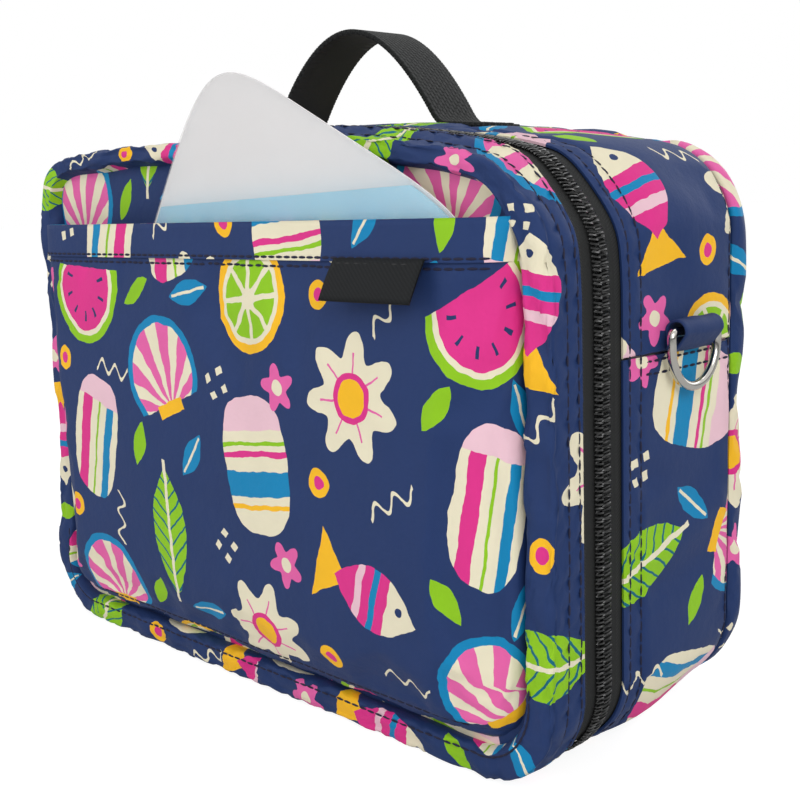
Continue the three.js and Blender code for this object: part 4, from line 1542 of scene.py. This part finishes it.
def hingeStrip():
    bm = bmesh.new()
    bmesh.ops.create_grid(bm, x_segments=36, y_segments=48, size=1)
    for vert in bm.verts:
        depth = hinge["front"] + (vert.co.x + 1) / 2 * (hinge["back"] - hinge["front"])
        z = hinge["low"] + (vert.co.y + 1) / 2 * (hinge["high"] - hinge["low"])
        out = hinge["bulge"] * bell(depth - case["zipLine"], hinge["bulgeReach"])
        out += hinge["crease"] * noise.noise(Vector((depth / 6, z / 14, 7)))
        vert.co = (-case["halfWidth"] + hinge["inset"] - out, depth, z)
    layUv(bm, lambda vert: (vert.co.y + hinge["printShift"], vert.co.z))
    bmesh.ops.recalc_face_normals(bm, faces=bm.faces)
    faceTowards(bm, -1, 0)
    piece = finishPiece(
        "hinge_cloth", bm, printCotton, None, ["hinge_leaf_front", "hinge_leaf_rear"]
    )
    thicken(piece, hinge["wall"])
    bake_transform(piece)


hingeStrip()
print("sliders and hinge ready")


# inside: foam, silver lining, pen loops and the lid's net

lining = dict(
    tray=[(-20.5, -2.5), (-20.6, -4), (-20.5, -7), (-20, -7.9), (-18, -8)], floorOut=-8, plateInset=8.1,
    foam=(-2.5, -7.1), foamFront=-19.4, foamBack=34.7, across=(0, 8, 13, 18, 23, 28),
    wall=0.6, creases=(0.5, 16, 51), creaseFrom=-19, back=34.5,
    lidBack=-34.9, lidInset=2.6, lidCreases=(0.12, 18, 52),
)
loops = dict(
    count=6, pitch=30, radius=8.9, wallY=33.2, backing=1.1, low=70, high=95, wall=1, rows=8, endInset=1.5,
)
net = dict(
    half=85, low=26, high=118, depth=-34.1, cell=4, strand=0.45, sag=0.25,
    band=10, bandWall=0.9, bandWave=0.15, binding=4,
)


def silverLining():
    material, tree, shader = newMaterial("silver lining film")
    place = coordinates(tree, "Object")
    folds = noiseNode(tree, place, 70, 7, 0.7)
    # painted light and shade: the foil's colour is lighter on the fold crests and darker in the fold hollows,
    # following the same folds as the bump
    foldLit, foldShade = colour(214, 217, 220), colour(140, 146, 152)
    tree.links.new(mixColour(tree, foldShade, foldLit, folds.outputs[0]), shader.inputs["Base Color"])
    shader.inputs["Metallic"].default_value = 0.9
    shader.inputs["Roughness"].default_value = 0.3
    addBump(tree, shader, folds.outputs[0], 3, 0.8)
    return material


def insideLayers():
    silver = silverLining()
    floor = [(depth, lining["floorOut"]) for depth in lining["across"] + (lining["back"] - 0.1,)]
    bm = sweepCloth(lining["tray"] + floor, closed=False)
    joinInto(bm, outlinePanel(lining["plateInset"], lining["back"], -1))
    ruffle(bm, *lining["creases"], lambda place: 1 if place.y > lining["creaseFrom"] else 0)
    for face in bm.faces:
        toMiddle = Vector((0, 0, case["middle"])) - face.calc_center_median()
        toMiddle.y = -30
        if face.normal.dot(toMiddle) < 0:
            face.normal_flip()
    area = clothArea(bm)
    piece = finishPiece("silver_tray", bm, silver, "rear_shell", ["rear_lining"])
    thicken(piece, lining["wall"])

    bm = outlinePanel(lining["lidInset"], lining["lidBack"], 1)
    ruffle(bm, *lining["lidCreases"])
    area = clothArea(bm)
    piece = finishPiece("silver_lid_lining", bm, silver, "front_lid", ["front_lining"])
    thicken(piece, lining["wall"])

    depths = (lining["foamFront"],) + lining["across"] + (lining["foamBack"],)
    under, upper = lining["foam"]
    bm = sweepCloth([(depth, under) for depth in depths] + [(depth, upper) for depth in reversed(depths)])
    piece = finishPiece("wall_foam_cells", bm, foamCells, "rear_shell", ["wall_foam"])
    for name, node, body, depth, wide in (
        ("back_foam_cells", "back_foam", "rear_shell", 39.7, 4.3),
        ("lid_foam_cells", "front_foam", "front_lid", -36.1, 3.6),
    ):
        bm = outlinePanel(lining["lidInset"], depth, 1)
        piece = finishPiece(name, bm, foamCells, body, [node])
        thicken(piece, wide)


def upright(line, low, high, steps):
    bm = bmesh.new()
    verts = [bm.verts.new((x, depth, low)) for x, depth in line]
    for number in range(steps):
        verts = growRow(bm, verts, False)
        bmesh.ops.translate(bm, vec=(0, 0, (high - low) / steps), verts=verts)
    return bm


def penLoops():
    half = loops["count"] * loops["pitch"] / 2
    seat = loops["wallY"] - loops["backing"]
    line = [(-half, seat)]
    for number in range(loops["count"]):
        centre = (number - (loops["count"] - 1) / 2) * loops["pitch"]
        for step in range(13):
            turn = math.pi * (1 - step / 12)
            line.append((centre + loops["radius"] * math.cos(turn), seat - loops["radius"] * math.sin(turn)))
    line.append((half, seat))
    bm = upright(line, loops["low"], loops["high"], loops["rows"])
    back = [(x, loops["wallY"]) for x in (-half, 0, half)]
    joinInto(bm, upright(back, loops["low"], loops["high"], loops["rows"]))
    bmesh.ops.recalc_face_normals(bm, faces=bm.faces)
    layUv(bm, lambda vert: (vert.co.z, vert.co.x + vert.co.y))
    width = (loops["high"] - loops["low"]) * mm
    length = clothArea(bm) / width
    piece = finishPiece("pen_loop_elastic", bm, blackElastic, "rear_shell", ["pen_loop_band"], 60)
    thicken(piece, loops["wall"], 0)
    rows = []
    for number in range(loops["count"] + 1):
        x = -half + number * loops["pitch"]
        if number in (0, loops["count"]):  # the end rows stand in from the edge
            x -= math.copysign(loops["endInset"], x)
        points = [Vector((x, loops["wallY"] - 1.75, z)) for z in (loops["low"] + 1, loops["high"] - 1)]
        rows += lineRow(points, Vector((0, -1, 0)))
    sew("pen_loop_stitches", rows, blackThread, "rear_shell")


def lidNet():
    bm = bmesh.new()
    columns, rows = int(2 * net["half"] / net["cell"]), int((net["high"] - net["low"]) / net["cell"])
    bmesh.ops.create_grid(bm, x_segments=columns, y_segments=rows, size=1)
    for vert in bm.verts:
        z = net["low"] + (vert.co.y + 1) / 2 * (net["high"] - net["low"])
        sag = net["sag"] * noise.noise(Vector((vert.co.x * 6, z / 16, 9)))
        vert.co = (vert.co.x * net["half"], net["depth"] + sag, z)
    piece = finishPiece("net_mesh", bm, netThread, "front_lid", ["lid_net"])
    strands = piece.modifiers.new("strands", "WIREFRAME")
    strands.thickness = net["strand"] * mm
    strands.use_replace = True
    bm = bmesh.new()
    half, wide = net["half"], net["binding"]
    front, back = net["depth"] - net["bandWall"] / 2, net["depth"] + net["bandWall"] / 2
    for left, right, top in (
        (-half, half, net["low"] + wide),
        (-half, -half + wide, net["high"]),
        (half - wide, half, net["high"]),
    ):
        block(bm, (left, front, net["low"]), (right, back, top), 0.2)
    layUv(bm, lambda vert: (vert.co.x, vert.co.z))
    finishPiece("net_binding", bm, blackTape, "front_lid", [], 40)
    bm = bmesh.new()
    bmesh.ops.create_grid(bm, x_segments=90, y_segments=6, size=1)
    for vert in bm.verts:
        z = net["high"] + 0.4 + (vert.co.y + 1) / 2 * (net["band"] - 0.2)
        x = vert.co.x * net["half"]
        vert.co = (x, net["depth"] + 0.2 + net["bandWave"] * math.sin(x * 1.1), z)
    layUv(bm, lambda vert: (vert.co.z, vert.co.x))
    piece = finishPiece("net_elastic", bm, blackElastic, "front_lid", ["lid_net_band"])
    thicken(piece, net["bandWall"], 0)


insideLayers()
penLoops()
lidNet()
print("inside ready")
